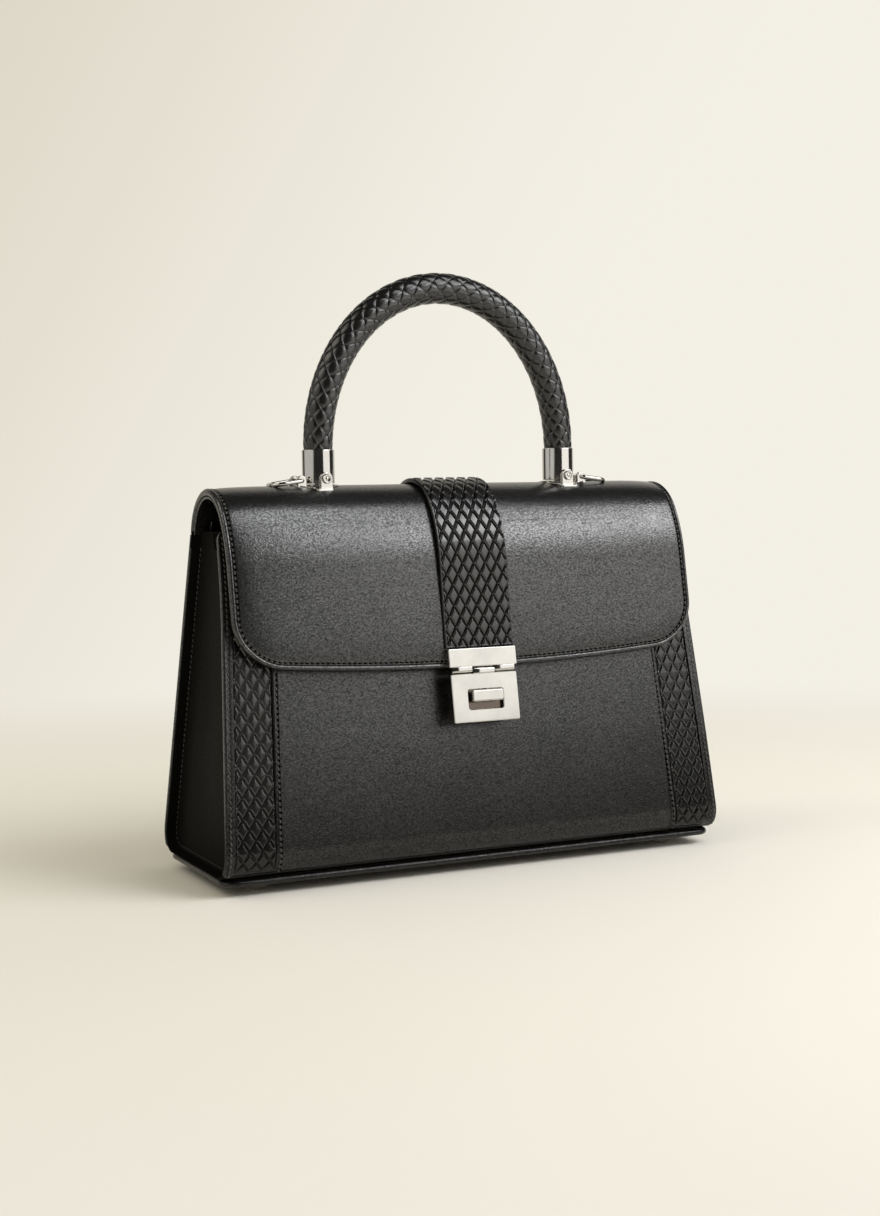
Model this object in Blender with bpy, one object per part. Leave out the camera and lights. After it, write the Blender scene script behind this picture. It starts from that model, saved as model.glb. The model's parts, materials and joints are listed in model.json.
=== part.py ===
# Structured top handle satchel: a leather case with a flap, a braided handle and a turn lock.
# X is the width, the front faces -Y, Z is up, and the feet stand on z = 0.

import math

import bmesh
import bpy
from mathutils import Matrix, Vector

MM = 0.001

# Case, measured at the fold line where the rounded bottom corner meets the flat of a panel
case_half_width = 135 * MM
case_half_depth = 48 * MM
fold_height = 22 * MM
fold_radius = 14 * MM
panel_lean = math.atan(0.168)
mouth_side_inset = 9.4 * MM
front_straight = 104.4 * MM
mouth_curve_radius = 190 * MM
mouth_curve_length = 48 * MM
seat_gap = 0.3 * MM
overrun = 4 * MM
merge_distance = 0.001 * MM

# Leather and stiffeners of the case
panel_thickness = 2.4 * MM
panel_corner_radius = 5 * MM
board_thickness = 1.5 * MM
board_edge_drop = 8 * MM
lining_depth = 5.9 * MM
lining_thickness = 1 * MM
lining_edge_drop = 3 * MM
gusset_thickness = 1.6 * MM
gusset_recess = 5 * MM
gusset_edge_inset = 0.4 * MM
gusset_back_drop = 1.5 * MM

# Diamond inlays in the front panel
inlay_width = 20 * MM
inlay_side_margin = 5 * MM
inlay_recess = 1.5 * MM
inlay_sink = 0.1 * MM
inlay_bottom_margin = 5 * MM
inlay_top_margin = 12 * MM
inlay_corner_radius = 1.5 * MM

# Base, welt and feet
welt_radius = 1.6 * MM
welt_side_inset = 2 * MM
welt_end_inset = 6.4 * MM
welt_corner_radius = 6 * MM
base_panel_thickness = 1.8 * MM
base_board_thickness = 2 * MM
foot_radius = 6 * MM
foot_height = 5.5 * MM
foot_stem_radius = 1.5 * MM
foot_side_inset = 20.6 * MM
foot_end_inset = 15.2 * MM
foot_washer_radius = 5 * MM
foot_washer_thickness = 0.8 * MM
foot_profile_shares = [(0, 0), (0.55, 0), (0.8, 0.1), (0.95, 0.35), (1, 0.62), (1, 1)]

# Pocket sewn on the back of the lining
pocket_half_width = 70 * MM
pocket_height = 78 * MM
pocket_bottom = 62 * MM
pocket_thickness = 2.4 * MM
pocket_wall = 0.7 * MM
pocket_seam = 4 * MM
pocket_corner_radius = 8 * MM

# Flap: it rises from the hinge at the back, goes over the arch and hangs down the front
arch_top = 190 * MM
arch_front_margin = 2.95 * MM
shoulder_foot_height = 131.5 * MM
flap_stand_off = 7 * MM
flap_edge_height = 81 * MM
flap_corner_radius = 24 * MM
flap_bow_radius = 865 * MM
flap_leather = 1.6 * MM
flap_rim_width = 3.2 * MM
flap_rim_depth = 3 * MM
flap_lining_thickness = 1.3 * MM
flap_lining_inset = 0.5 * MM

# Strap over the flap
strap_half_width = 18.5 * MM
strap_thickness = 2.2 * MM
strap_lift = 2.2 * MM
strap_back_margin = 7 * MM
strap_corner_radius = 3 * MM

# Turn lock: a bar on the strap, a hinged hasp plate and a toggle on the case
bar_half_width = 18.5 * MM
bar_height = 9.2 * MM
bar_thickness = 4 * MM
bar_corner_radius = 0.8 * MM
bar_screw_across = 12 * MM
bar_screw_drop = 1.9 * MM
bar_screw_radius = 1 * MM
bar_screw_bite = 2 * MM
bar_screw_head_radius = 2.2 * MM
bar_screw_head_height = 0.6 * MM
bar_plate_half_width = 16.5 * MM
bar_plate_height = 6 * MM
bar_plate_thickness = 0.8 * MM
hinge_height = 77.3 * MM
hinge_stand_off = 9.9 * MM
hinge_barrel_radius = 1.3 * MM
hinge_pin_radius = 0.5 * MM
hinge_half_length = 17 * MM
hasp_tongue_half_width = 5.9 * MM
hasp_half_width = 18 * MM
hasp_bottom = 51.9 * MM
hasp_thickness = 2.2 * MM
hasp_corner_radius = 0.8 * MM
window_half_width = 9.5 * MM
window_above = 3.3 * MM
window_below = 6.4 * MM
window_corner_radius = 1.2 * MM
toggle_height = 64.5 * MM
toggle_half_length = 8.5 * MM
toggle_half_breadth = 2.75 * MM
toggle_thickness = 2.5 * MM
toggle_corner_radius = 1 * MM
toggle_neck_radius = 2.5 * MM
spindle_radius = 1.5 * MM
spindle_head_radius = 2.2 * MM
spindle_head_height = 0.5 * MM
retainer_radius = 3.2 * MM
retainer_thickness = 0.9 * MM
lock_half_width = 14 * MM
lock_below = 9.5 * MM
lock_above = 9.5 * MM
lock_corner_radius = 2 * MM
lock_pocket_depth = 2.2 * MM
post_across = 9 * MM
post_radius = 1.2 * MM
lock_plate_half_width = 13 * MM
lock_plate_half_height = 8 * MM
lock_plate_thickness = 0.8 * MM

# Handle: a braided sleeve on a core, in a ferrule at each end
handle_half_span = 67.3 * MM
handle_rise = 79.4 * MM
handle_spring_height = 19 * MM
handle_end_radius = 6.2 * MM
handle_foot_radius = 6.9 * MM
handle_top_radius = 8.2 * MM
handle_swell_share = 0.6
handle_core_radius = 4.2 * MM
ferrule_radius = 7.6 * MM
ferrule_wall = 1 * MM
ferrule_floor = 4.3 * MM
ferrule_top = 18.5 * MM
ferrule_chamfer = 0.4 * MM
grub_radius = 1.2 * MM
grub_height = 8.4 * MM
grub_proud = 0.3 * MM

# Handle mount on the arch: saddle, eye lug with its screw, and the ears of the strap ring
saddle_inner_reach = 9.2 * MM
saddle_outer_reach = 13.8 * MM
saddle_front_reach = 11.6 * MM
saddle_back_reach = 8 * MM
saddle_thickness = 1.5 * MM
saddle_corner_radius = 2.5 * MM
pad_radius = 8.2 * MM
pad_height = 1.6 * MM
lug_radius = 3.3 * MM
lug_thickness = 2.7 * MM
lug_height = 4.2 * MM
mount_screw_radius = 1.3 * MM
mount_screw_bite = 2.2 * MM
mount_screw_head_radius = 2.4 * MM
mount_screw_head_height = 1.1 * MM
ear_reach = 10.9 * MM
ear_height = 3.4 * MM
ear_radius = 2.5 * MM
ear_thickness = 2.2 * MM
ear_half_space = 3.4 * MM
ring_wire_radius = 1.1 * MM
ring_half_width = 7.3 * MM
ring_reach = 14.6 * MM
ring_near_radius = 1.8 * MM
ring_far_radius = 5.5 * MM
backing_thickness = 1.2 * MM
backing_half_width = 8.5 * MM
backing_half_length = 7 * MM
bolt_radius = 2 * MM
bolt_head_radius = 4 * MM
bolt_head_height = 1.6 * MM
bolt_bite = 3 * MM

# Facets
fold_steps = 8
arch_steps = 14
shoulder_steps = 5
mouth_steps = 5
round_steps = 20
fine_round_steps = 12
corner_steps = 4
wide_corner_steps = 9
bow_steps = 12
handle_steps = 28
handle_side_steps = 5
core_side_steps = 2
wire_side_steps = 2
ring_corner_steps = 4


def clear_scene():
    for thing in list(bpy.data.objects):
        bpy.data.objects.remove(thing, do_unlink=True)


def finish_material(name, colour, roughness, metallic=0.0):
    made = bpy.data.materials.get(name)
    if made is None:
        made = bpy.data.materials.new(name)
        made.use_nodes = True
        shader = made.node_tree.nodes["Principled BSDF"]
        shader.inputs["Base Color"].default_value = (*colour, 1)
        shader.inputs["Roughness"].default_value = roughness
        shader.inputs["Metallic"].default_value = metallic
    return made


def black_leather(piece):
    piece.data.materials.append(finish_material("black_leather_of_" + piece.name, (0.02, 0.02, 0.022), 0.45))


def diamond_leather(piece):
    piece.data.materials.append(finish_material("diamond_leather_of_" + piece.name, (0.025, 0.025, 0.03), 0.38))


def stiff_board(piece):
    piece.data.materials.append(finish_material("stiff_board_of_" + piece.name, (0.3, 0.24, 0.18), 0.8))


def lining_cloth(piece):
    piece.data.materials.append(finish_material("lining_cloth_of_" + piece.name, (0.16, 0.13, 0.11), 0.85))


def polished_metal(piece):
    piece.data.materials.append(finish_material("polished_metal_of_" + piece.name, (0.8, 0.79, 0.76), 0.12, 1.0))


def plain_steel(piece):
    piece.data.materials.append(finish_material("plain_steel_of_" + piece.name, (0.5, 0.5, 0.52), 0.35, 1.0))


# A profile is a line in the side view, walked through straight runs and arcs. Its stations are
# where sheets that follow it are creased, and its outside is on the left of the walk.
class Profile:
    def __init__(self, start, heading, runs, facing=1):
        self.facing = facing
        self.stations = []
        y, z = start
        walked = 0.0
        self._add(walked, y, z, heading)
        for length, turn, steps in runs:
            for step in range(steps):
                middle = heading + turn / steps / 2
                chord = length / steps
                if turn:
                    chord *= math.sin(turn / steps / 2) / (turn / steps / 2)
                y += chord * math.cos(middle)
                z += chord * math.sin(middle)
                heading += turn / steps
                walked += length / steps
                self._add(walked, y, z, heading)
        self.length = walked

    def _add(self, walked, y, z, heading):
        self.stations.append((walked, Vector((y, z)), Vector((-math.sin(heading), math.cos(heading)))))

    def place(self, walked, out):
        last = len(self.stations) - 2
        index = 0
        while index < last and walked > self.stations[index + 1][0]:
            index += 1
        low, high = self.stations[index], self.stations[index + 1]
        if walked < low[0] or walked > high[0]:
            end = low if walked < low[0] else high
            along = Vector((end[2].y, -end[2].x))
            spot = end[1] + along * (walked - end[0]) + end[2] * out
        else:
            share = (walked - low[0]) / (high[0] - low[0])
            spot = low[1].lerp(high[1], share) + low[2].lerp(high[2], share) * out
        return self.facing * spot.x, spot.y

    def between(self, first, last):
        return [station[0] for station in self.stations if first < station[0] < last]


fold_turn = math.pi / 2 + panel_lean
fold_length = fold_radius * fold_turn
fold_centre_y = -case_half_depth + fold_radius * math.cos(panel_lean)
fold_centre_z = fold_height - fold_radius * math.sin(panel_lean)
fold_run = (fold_length, -fold_turn, fold_steps)
fold_start = (fold_centre_y, fold_centre_z - fold_radius)

# The arch reaches from the back panel's face to a margin behind the flap's front
arch_rise = (arch_top - fold_height) * math.sin(panel_lean)
arch_reach = 2 * (case_half_depth * math.cos(panel_lean) - arch_rise) + flap_stand_off - arch_front_margin
arch_radius = arch_reach / 2 / (1 - math.sin(panel_lean))
arch_centre_z = arch_top - arch_radius
hinge_z = arch_centre_z + arch_radius * math.sin(panel_lean)
hinge_y = case_half_depth - (hinge_z - fold_height) * math.tan(panel_lean)
arch_centre_y = hinge_y - arch_radius * math.cos(panel_lean)
back_straight = (hinge_z - fold_height) / math.cos(panel_lean)

front_line = Profile(fold_start, math.pi, [
    fold_run,
    (front_straight, 0, 1),
    (mouth_curve_length, -mouth_curve_length / mouth_curve_radius, mouth_steps)])
back_line = Profile(fold_start, math.pi, [fold_run, (back_straight, 0, 1)], facing=-1)
mouth_y, mouth_z = front_line.place(front_line.length, 0)
side_taper = mouth_side_inset / case_half_width / (mouth_z - fold_height)
flap_half_width = case_half_width - mouth_side_inset


# Distances on the flat of the front panel: out from its face, and up from its fold line
def out_of_front(y, z):
    return -(y + case_half_depth) * math.cos(panel_lean) + (z - fold_height) * math.sin(panel_lean)


def up_the_front(y, z):
    return (y + case_half_depth) * math.sin(panel_lean) + (z - fold_height) * math.cos(panel_lean)


# The shoulder is an arc that leaves the arch and ends flat on the flap's front
shoulder_out = flap_stand_off - out_of_front(arch_centre_y, arch_centre_z)
shoulder_drop = up_the_front(arch_centre_y, arch_centre_z) - shoulder_foot_height
shoulder_radius = (shoulder_out ** 2 + shoulder_drop ** 2 - arch_radius ** 2) / 2 / (shoulder_out - arch_radius)
shoulder_turn = math.atan2(shoulder_drop, shoulder_radius - shoulder_out)
arch_turn = math.pi - 2 * panel_lean - shoulder_turn
flap_line = Profile((-hinge_y, hinge_z), math.pi / 2 - panel_lean, [
    (arch_radius * arch_turn, -arch_turn, arch_steps),
    (shoulder_radius * shoulder_turn, -shoulder_turn, shoulder_steps),
    (shoulder_foot_height - flap_edge_height, 0, 1)], facing=-1)
arch_crown = arch_radius * (math.pi / 2 - panel_lean)

# The welt and the feet keep their places in from the case's edges
welt_half_width = case_half_width - welt_side_inset
welt_half_depth = case_half_depth - welt_end_inset
foot_across = welt_half_width - foot_side_inset
foot_along = welt_half_depth - foot_end_inset
inlay_outer_edge = case_half_width - inlay_side_margin
inlay_inner_edge = inlay_outer_edge - inlay_width

# Where the panels end above the welt
panel_inner_radius = fold_radius - panel_thickness
gusset_bottom = fold_centre_z - panel_inner_radius + seat_gap
welt_z = gusset_bottom - seat_gap - welt_radius
welt_swing = math.hypot(welt_half_depth + fold_centre_y, fold_centre_z - welt_z)
welt_angle = math.asin((welt_half_depth + fold_centre_y) / welt_swing)
welt_room = welt_radius + seat_gap
panel_end_angle = welt_angle + math.acos(
    (welt_swing ** 2 + fold_radius ** 2 - welt_room ** 2) / (2 * welt_swing * fold_radius))
panel_start = fold_radius * panel_end_angle
flap_thickness = flap_rim_depth + seat_gap + flap_lining_thickness


def face_frame():
    across = Vector((1, 0, 0))
    up = Vector((0, math.sin(panel_lean), math.cos(panel_lean)))
    out = Vector((0, -math.cos(panel_lean), math.sin(panel_lean)))
    frame = Matrix((across, up, out)).transposed().to_4x4()
    frame.translation = Vector((0, -case_half_depth, fold_height))
    return frame


on_face = face_frame()


# Round cutters square to the front face, one on each side, or one in the middle
def face_holes(across, height, radius, low, high):
    return [move(pin("hole", radius, low, high), on_face @ Matrix.Translation((x, height, 0)))
            for x in sorted({-across, across})]


# Outlines are lists of points that run anticlockwise
def arc_points(centre, radius, first, last, steps):
    turn = (last - first) / steps
    return [(centre[0] + radius * math.cos(first + turn * step),
             centre[1] + radius * math.sin(first + turn * step)) for step in range(steps + 1)]


def rounded_outline(left, right, bottom, top, radius, steps=corner_steps):
    corners = [(right - radius, bottom + radius, -math.pi / 2), (right - radius, top - radius, 0),
               (left + radius, top - radius, math.pi / 2), (left + radius, bottom + radius, math.pi)]
    outline = []
    for x, y, first in corners:
        outline += arc_points((x, y), radius, first, first + math.pi / 2, steps)
    return outline


def box_outline(left, right, bottom, top):
    return [(left, bottom), (right, bottom), (right, top), (left, top)]


def circle_outline(centre, radius, steps=fine_round_steps):
    return arc_points(centre, radius, 0, 2 * math.pi, steps)[:-1]


# The eye of a lug: a round top on straight sides that go down to the foot
def lug_outline(centre, radius, foot):
    top = arc_points((centre, 0), radius, 0, math.pi, 2 * corner_steps)
    return [(centre - radius, foot), (centre + radius, foot)] + top


def face_outwards(shape):
    bmesh.ops.recalc_face_normals(shape, faces=shape.faces)
    if shape.calc_volume(signed=True) < 0:
        bmesh.ops.reverse_faces(shape, faces=shape.faces)


def object_from(name, shape):
    face_outwards(shape)
    mesh = bpy.data.meshes.new(name)
    shape.to_mesh(mesh)
    shape.free()
    piece = bpy.data.objects.new(name, mesh)
    bpy.context.scene.collection.objects.link(piece)
    return piece


# A slab is an outline in X and Y, as thick as low to high in Z
def slab(name, outline, low, high):
    shape = bmesh.new()
    face = shape.faces.new([shape.verts.new((x, y, low)) for x, y in outline])
    raised = bmesh.ops.extrude_face_region(shape, geom=[face])["geom"]
    for corner in raised:
        if isinstance(corner, bmesh.types.BMVert):
            corner.co.z = high
    return object_from(name, shape)


# A turned piece, from its radius and height points, bottom to top, round the Z axis
def turned(name, points, steps=round_steps):
    shape = bmesh.new()
    line = [shape.verts.new((radius, 0, height)) for radius, height in points]
    edges = [shape.edges.new(pair) for pair in zip(line, line[1:])]
    bmesh.ops.spin(shape, geom=line + edges, cent=(0, 0, 0), axis=(0, 0, 1), dvec=(0, 0, 0),
                   angle=2 * math.pi, steps=steps, use_merge=True, use_duplicate=False)
    bmesh.ops.remove_doubles(shape, verts=shape.verts, dist=seat_gap / 100)
    return object_from(name, shape)


def pin(name, radius, low, high, steps=fine_round_steps):
    return turned(name, [(0, low), (radius, low), (radius, high), (0, high)], steps)


def washer(name, radius, hole, low, high):
    points = [(hole, low), (radius, low), (radius, high), (hole, high), (hole, low)]
    return turned(name, points)


# A tube along points in space, closed or capped, with its own thickness at each point
def tube(name, points, radii, sides, closed=False):
    curve = bpy.data.curves.new(name, "CURVE")
    curve.dimensions = "3D"
    curve.bevel_depth = 1
    curve.bevel_resolution = sides
    curve.use_fill_caps = not closed
    spline = curve.splines.new("POLY")
    spline.points.add(len(points) - 1)
    spline.use_cyclic_u = closed
    for knot, spot, radius in zip(spline.points, points, radii):
        knot.co = (*spot, 1)
        knot.radius = radius
    guide = bpy.data.objects.new(name + "_guide", curve)
    bpy.context.scene.collection.objects.link(guide)
    mesh = bpy.data.meshes.new_from_object(guide.evaluated_get(bpy.context.evaluated_depsgraph_get()))
    bpy.data.objects.remove(guide)
    shape = bmesh.new()
    shape.from_mesh(mesh)
    bmesh.ops.remove_doubles(shape, verts=shape.verts, dist=seat_gap / 100)
    return object_from(name, shape)


# Corners that meet are merged after each cut, so that the next one starts from a closed body
def boolean(piece, others, operation):
    for other in others:
        step = piece.modifiers.new("boolean", "BOOLEAN")
        step.operation = operation
        step.solver = "EXACT"
        step.object = other
        bpy.context.view_layer.update()
        view = bpy.context.evaluated_depsgraph_get()
        piece.data = bpy.data.meshes.new_from_object(piece.evaluated_get(view))
        piece.modifiers.clear()
        bpy.data.objects.remove(other)
        shape = bmesh.new()
        shape.from_mesh(piece.data)
        bmesh.ops.remove_doubles(shape, verts=shape.verts, dist=merge_distance)
        bmesh.ops.dissolve_degenerate(shape, edges=shape.edges, dist=merge_distance)
        shape.to_mesh(piece.data)
        shape.free()
    return piece


def cut(piece, *cutters):
    return boolean(piece, cutters, "DIFFERENCE")


def join(piece, *others):
    return boolean(piece, others, "UNION")


def move(piece, frame):
    piece.data.transform(frame)
    return piece


def smooth(piece):
    piece.data.shade_smooth()
    piece.data.set_sharp_from_angle(angle=math.radians(40))
    return piece


def width_at(height):
    return 1 - side_taper * (height - fold_height)


# Bends a flat sheet along a profile: X stays the width, Y is the walk, Z is the way out
def bend(piece, line, tapered=True, lift=None):
    shape = bmesh.new()
    shape.from_mesh(piece.data)
    walks = [corner.co.y for corner in shape.verts]
    for walked in line.between(min(walks), max(walks)):
        parts = shape.verts[:] + shape.edges[:] + shape.faces[:]
        bmesh.ops.bisect_plane(shape, geom=parts, plane_co=(0, walked, 0), plane_no=(0, 1, 0),
                               dist=seat_gap / 100)
    bmesh.ops.remove_doubles(shape, verts=shape.verts, dist=seat_gap / 100)
    bmesh.ops.triangulate(shape, faces=shape.faces)
    for corner in shape.verts:
        x, walked, out = corner.co
        if lift:
            out += lift(walked)
        y, z = line.place(walked, out)
        corner.co = (x * width_at(z) if tapered else x, y, z)
    face_outwards(shape)
    shape.to_mesh(piece.data)
    shape.free()
    return piece


# The case seen from its side, drawn in from the outside of its panels by a depth
def side_outline(depth, front_drop, back_drop):
    outline = []
    front_top = front_line.length - front_drop
    for walked in [0] + front_line.between(0, front_top) + [front_top]:
        outline.append(front_line.place(walked, -depth))
    back_top = back_line.length - back_drop
    for walked in reversed([0] + back_line.between(0, back_top) + [back_top]):
        outline.append(back_line.place(walked, -depth))
    return outline


# Turns a slab drawn in the side view so that its thickness runs along X
side_frame = Matrix(((0, 0, 1, 0), (1, 0, 0, 0), (0, 1, 0, 0), (0, 0, 0, 1)))


def side_slab(name, outline, low, high):
    return move(slab(name, outline, low, high), side_frame)


def taper(piece):
    for corner in piece.data.vertices:
        corner.co.x *= width_at(corner.co.z)
    return piece


# Case

def make_front_panel():
    outline = rounded_outline(-case_half_width, case_half_width, panel_start, front_line.length,
                              panel_corner_radius)
    panel = slab("front_panel", outline, -panel_thickness, 0)
    cutters = []
    for side in (-1, 1):
        edges = sorted((side * inlay_inner_edge, side * inlay_outer_edge))
        recess = rounded_outline(*edges, panel_start + inlay_bottom_margin,
                                 front_line.length - inlay_top_margin, inlay_corner_radius)
        cutters.append(bend(slab("recess", recess, -inlay_recess, overrun), front_line))
    cutters += face_holes(post_across, toggle_height, post_radius + seat_gap,
                          -panel_thickness - overrun, overrun)
    black_leather(cut(bend(panel, front_line), *cutters))


def make_front_inlay(side, name):
    inner = inlay_inner_edge + seat_gap
    outer = inlay_outer_edge - seat_gap
    edges = sorted((side * inner, side * outer))
    outline = rounded_outline(*edges, panel_start + inlay_bottom_margin + seat_gap,
                              front_line.length - inlay_top_margin - seat_gap,
                              inlay_corner_radius - seat_gap)
    diamond_leather(bend(slab(name, outline, -inlay_recess + seat_gap, -inlay_sink), front_line))


def make_back_panel():
    outline = rounded_outline(-case_half_width, case_half_width, panel_start,
                              back_line.length - seat_gap, panel_corner_radius)
    panel = slab("back_panel", outline, -panel_thickness, 0)
    black_leather(bend(panel, back_line))


def make_gusset(side, name):
    outer = case_half_width - gusset_edge_inset
    floor = outer - gusset_recess
    inner = floor - gusset_thickness
    rim = panel_thickness + seat_gap
    shell = side_slab(name, side_outline(rim, gusset_back_drop, gusset_back_drop), inner, outer)
    hollow = side_slab("hollow", side_outline(rim + gusset_thickness, -overrun, -overrun),
                       floor, outer + overrun)
    gusset = taper(cut(shell, hollow))
    if side < 0:
        gusset.data.transform(Matrix.Scale(-1, 4, (1, 0, 0)))
        gusset.data.flip_normals()
    black_leather(gusset)


gusset_inner_face = case_half_width - gusset_edge_inset - gusset_recess - gusset_thickness


def make_stiff_boards():
    depth = panel_thickness + seat_gap
    half_width = gusset_inner_face - seat_gap
    for name, line in (("front_board", front_line), ("back_board", back_line)):
        outline = rounded_outline(-half_width, half_width, fold_length, line.length - board_edge_drop,
                                  panel_corner_radius)
        board = bend(slab(name, outline, -depth - board_thickness, -depth), line)
        if line is front_line:
            cut(board, *face_holes(post_across, toggle_height, post_radius + seat_gap,
                                   -lining_depth - overrun, overrun))
        stiff_board(board)


def make_lining():
    half_width = gusset_inner_face - seat_gap
    drop = lining_edge_drop
    tub = side_slab("lining", side_outline(lining_depth, drop, drop), -half_width, half_width)
    room = half_width - lining_thickness
    hollow = side_slab("hollow", side_outline(lining_depth + lining_thickness, -overrun, -overrun),
                       -room, room)
    lining_cloth(taper(cut(tub, hollow)))


def make_inner_pocket():
    skin = lining_depth + lining_thickness + seat_gap
    bottom = fold_length + pocket_bottom
    top = bottom + pocket_height
    outline = rounded_outline(-pocket_half_width, pocket_half_width, bottom, top, pocket_corner_radius)
    pocket = slab("inner_pocket", outline, -skin - pocket_thickness, -skin)
    room = pocket_half_width - pocket_seam
    mouth = slab("mouth", box_outline(-room, room, bottom + pocket_seam, top + overrun),
                 -skin - pocket_thickness + pocket_wall, -skin - pocket_wall)
    lining_cloth(cut(bend(pocket, back_line), bend(mouth, back_line)))


# Base

base_bottom = foot_height + seat_gap
base_top = base_bottom + base_panel_thickness
board_bottom = base_top + seat_gap
board_top = board_bottom + base_board_thickness
washer_top = board_top + seat_gap + foot_washer_thickness


def foot_places():
    return [(x_name + "_" + y_name, x * foot_across, y * foot_along)
            for y_name, y in (("front", -1), ("back", 1)) for x_name, x in (("left", -1), ("right", 1))]


def stem_holes():
    return [slab("hole", circle_outline((x, y), foot_stem_radius + seat_gap), 0, washer_top + overrun)
            for _, x, y in foot_places()]


def make_base():
    half_width = welt_half_width - welt_room
    half_depth = welt_half_depth - welt_room
    outline = rounded_outline(-half_width, half_width, -half_depth, half_depth,
                              welt_corner_radius - welt_room)
    black_leather(cut(slab("base_panel", outline, base_bottom, base_top), *stem_holes()))
    board_half_width = gusset_inner_face - seat_gap
    board_half_depth = -fold_centre_y + seat_gap
    outline = rounded_outline(-board_half_width, board_half_width, -board_half_depth, board_half_depth,
                              panel_corner_radius)
    stiff_board(cut(slab("base_board", outline, board_bottom, board_top), *stem_holes()))


def make_base_welt():
    route = rounded_outline(-welt_half_width, welt_half_width, -welt_half_depth, welt_half_depth,
                            welt_corner_radius)
    points = [(x, y, welt_z) for x, y in route]
    black_leather(smooth(tube("base_welt", points, [welt_radius] * len(points), wire_side_steps, True)))


def make_feet():
    dome = [(foot_radius * across, foot_height * up) for across, up in foot_profile_shares]
    points = dome + [(foot_stem_radius, foot_height), (foot_stem_radius, washer_top), (0, washer_top)]
    for name, x, y in foot_places():
        place = Matrix.Translation((x, y, 0))
        polished_metal(smooth(move(turned("foot_" + name, points), place)))
        ring = washer("foot_washer_" + name, foot_washer_radius, foot_stem_radius + seat_gap,
                      board_top + seat_gap, washer_top)
        plain_steel(smooth(move(ring, place)))


# Turn lock

hasp_back = hinge_stand_off - hasp_thickness / 2
lock_face = hasp_back - seat_gap
toggle_back = hinge_stand_off + hinge_barrel_radius + seat_gap
bar_bottom = hinge_height + hinge_barrel_radius + seat_gap
bar_top = bar_bottom + bar_height
bar_back = flap_stand_off + seat_gap
bar_screw_height = bar_top - bar_screw_drop


def make_lock_base():
    outline = rounded_outline(-lock_half_width, lock_half_width, toggle_height - lock_below,
                              toggle_height + lock_above, lock_corner_radius)
    base = slab("lock_base", outline, seat_gap, lock_face)
    posts = face_holes(post_across, toggle_height, post_radius, -lining_depth + seat_gap, lock_face / 2)
    pocket = face_holes(0, toggle_height, retainer_radius + seat_gap, -overrun, seat_gap + lock_pocket_depth)
    bore = face_holes(0, toggle_height, spindle_radius + seat_gap, -overrun, lock_face + overrun)
    polished_metal(cut(join(move(base, on_face), *posts), *pocket, *bore))


def make_lock_back_plate():
    outline = rounded_outline(-lock_plate_half_width, lock_plate_half_width,
                              toggle_height - lock_plate_half_height,
                              toggle_height + lock_plate_half_height, lock_corner_radius)
    high = -panel_thickness - board_thickness - 2 * seat_gap
    plate = slab("lock_back_plate", outline, high - lock_plate_thickness, high)
    holes = face_holes(post_across, toggle_height, post_radius + seat_gap, -lining_depth - overrun, overrun)
    plain_steel(cut(move(plate, on_face), *holes))


def make_toggle():
    head = 2 * seat_gap
    neck = lock_face + seat_gap
    middle = toggle_back + toggle_thickness / 2
    points = [(0, head), (spindle_head_radius, head), (spindle_head_radius, head + spindle_head_height),
              (spindle_radius, head + spindle_head_height), (spindle_radius, neck),
              (toggle_neck_radius, neck), (toggle_neck_radius, middle), (0, middle)]
    toggle = turned("lock_toggle", points)
    grip = slab("grip", rounded_outline(-toggle_half_length, toggle_half_length, -toggle_half_breadth,
                                        toggle_half_breadth, toggle_corner_radius),
                toggle_back, toggle_back + toggle_thickness)
    centre = on_face @ Matrix.Translation((0, toggle_height, 0))
    polished_metal(smooth(move(join(toggle, grip), centre)))
    low = head + spindle_head_height + seat_gap
    ring = washer("toggle_retainer", retainer_radius, spindle_radius + seat_gap, low,
                  low + retainer_thickness)
    plain_steel(smooth(move(ring, centre)))


# Turns a piece made along Z to lie along X on the hasp's hinge axis
on_hinge = (Matrix.Translation((0, hinge_height, hinge_stand_off))
            @ Matrix.Rotation(math.pi / 2, 4, "Y"))


def hinge_pin(name, radius, left, right):
    return move(pin(name, radius, left, right), on_hinge)


# A knuckle is round at the pin and reaches away from it, down into the plate or up into the bar
def knuckle(left, right, reach):
    outline = lug_outline(0, hinge_barrel_radius, -abs(reach))
    web = slab("knuckle", outline, left, right)
    if reach > 0:
        move(web, Matrix.Rotation(math.pi, 4, "Z"))
    return move(web, on_hinge)


def hinge_bore():
    return hinge_pin("bore", hinge_pin_radius + seat_gap, -hinge_half_length - overrun,
                     hinge_half_length + overrun)


def make_hasp():
    top = hinge_height - hinge_barrel_radius - seat_gap
    outline = rounded_outline(-hasp_half_width, hasp_half_width, hasp_bottom, top, hasp_corner_radius)
    plate = slab("hasp_plate", outline, hasp_back, hasp_back + hasp_thickness)
    window = rounded_outline(-window_half_width, window_half_width, toggle_height - window_below,
                             toggle_height + window_above, window_corner_radius)
    cut(plate, slab("window", window, hasp_back - overrun, hasp_back + hasp_thickness + overrun))
    tongue = knuckle(-hasp_tongue_half_width, hasp_tongue_half_width, top - hinge_barrel_radius - hinge_height)
    join(plate, tongue)
    polished_metal(move(cut(plate, hinge_bore()), on_face))
    plain_steel(smooth(move(hinge_pin("hasp_pin", hinge_pin_radius, -hinge_half_length,
                                      hinge_half_length), on_face)))


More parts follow.
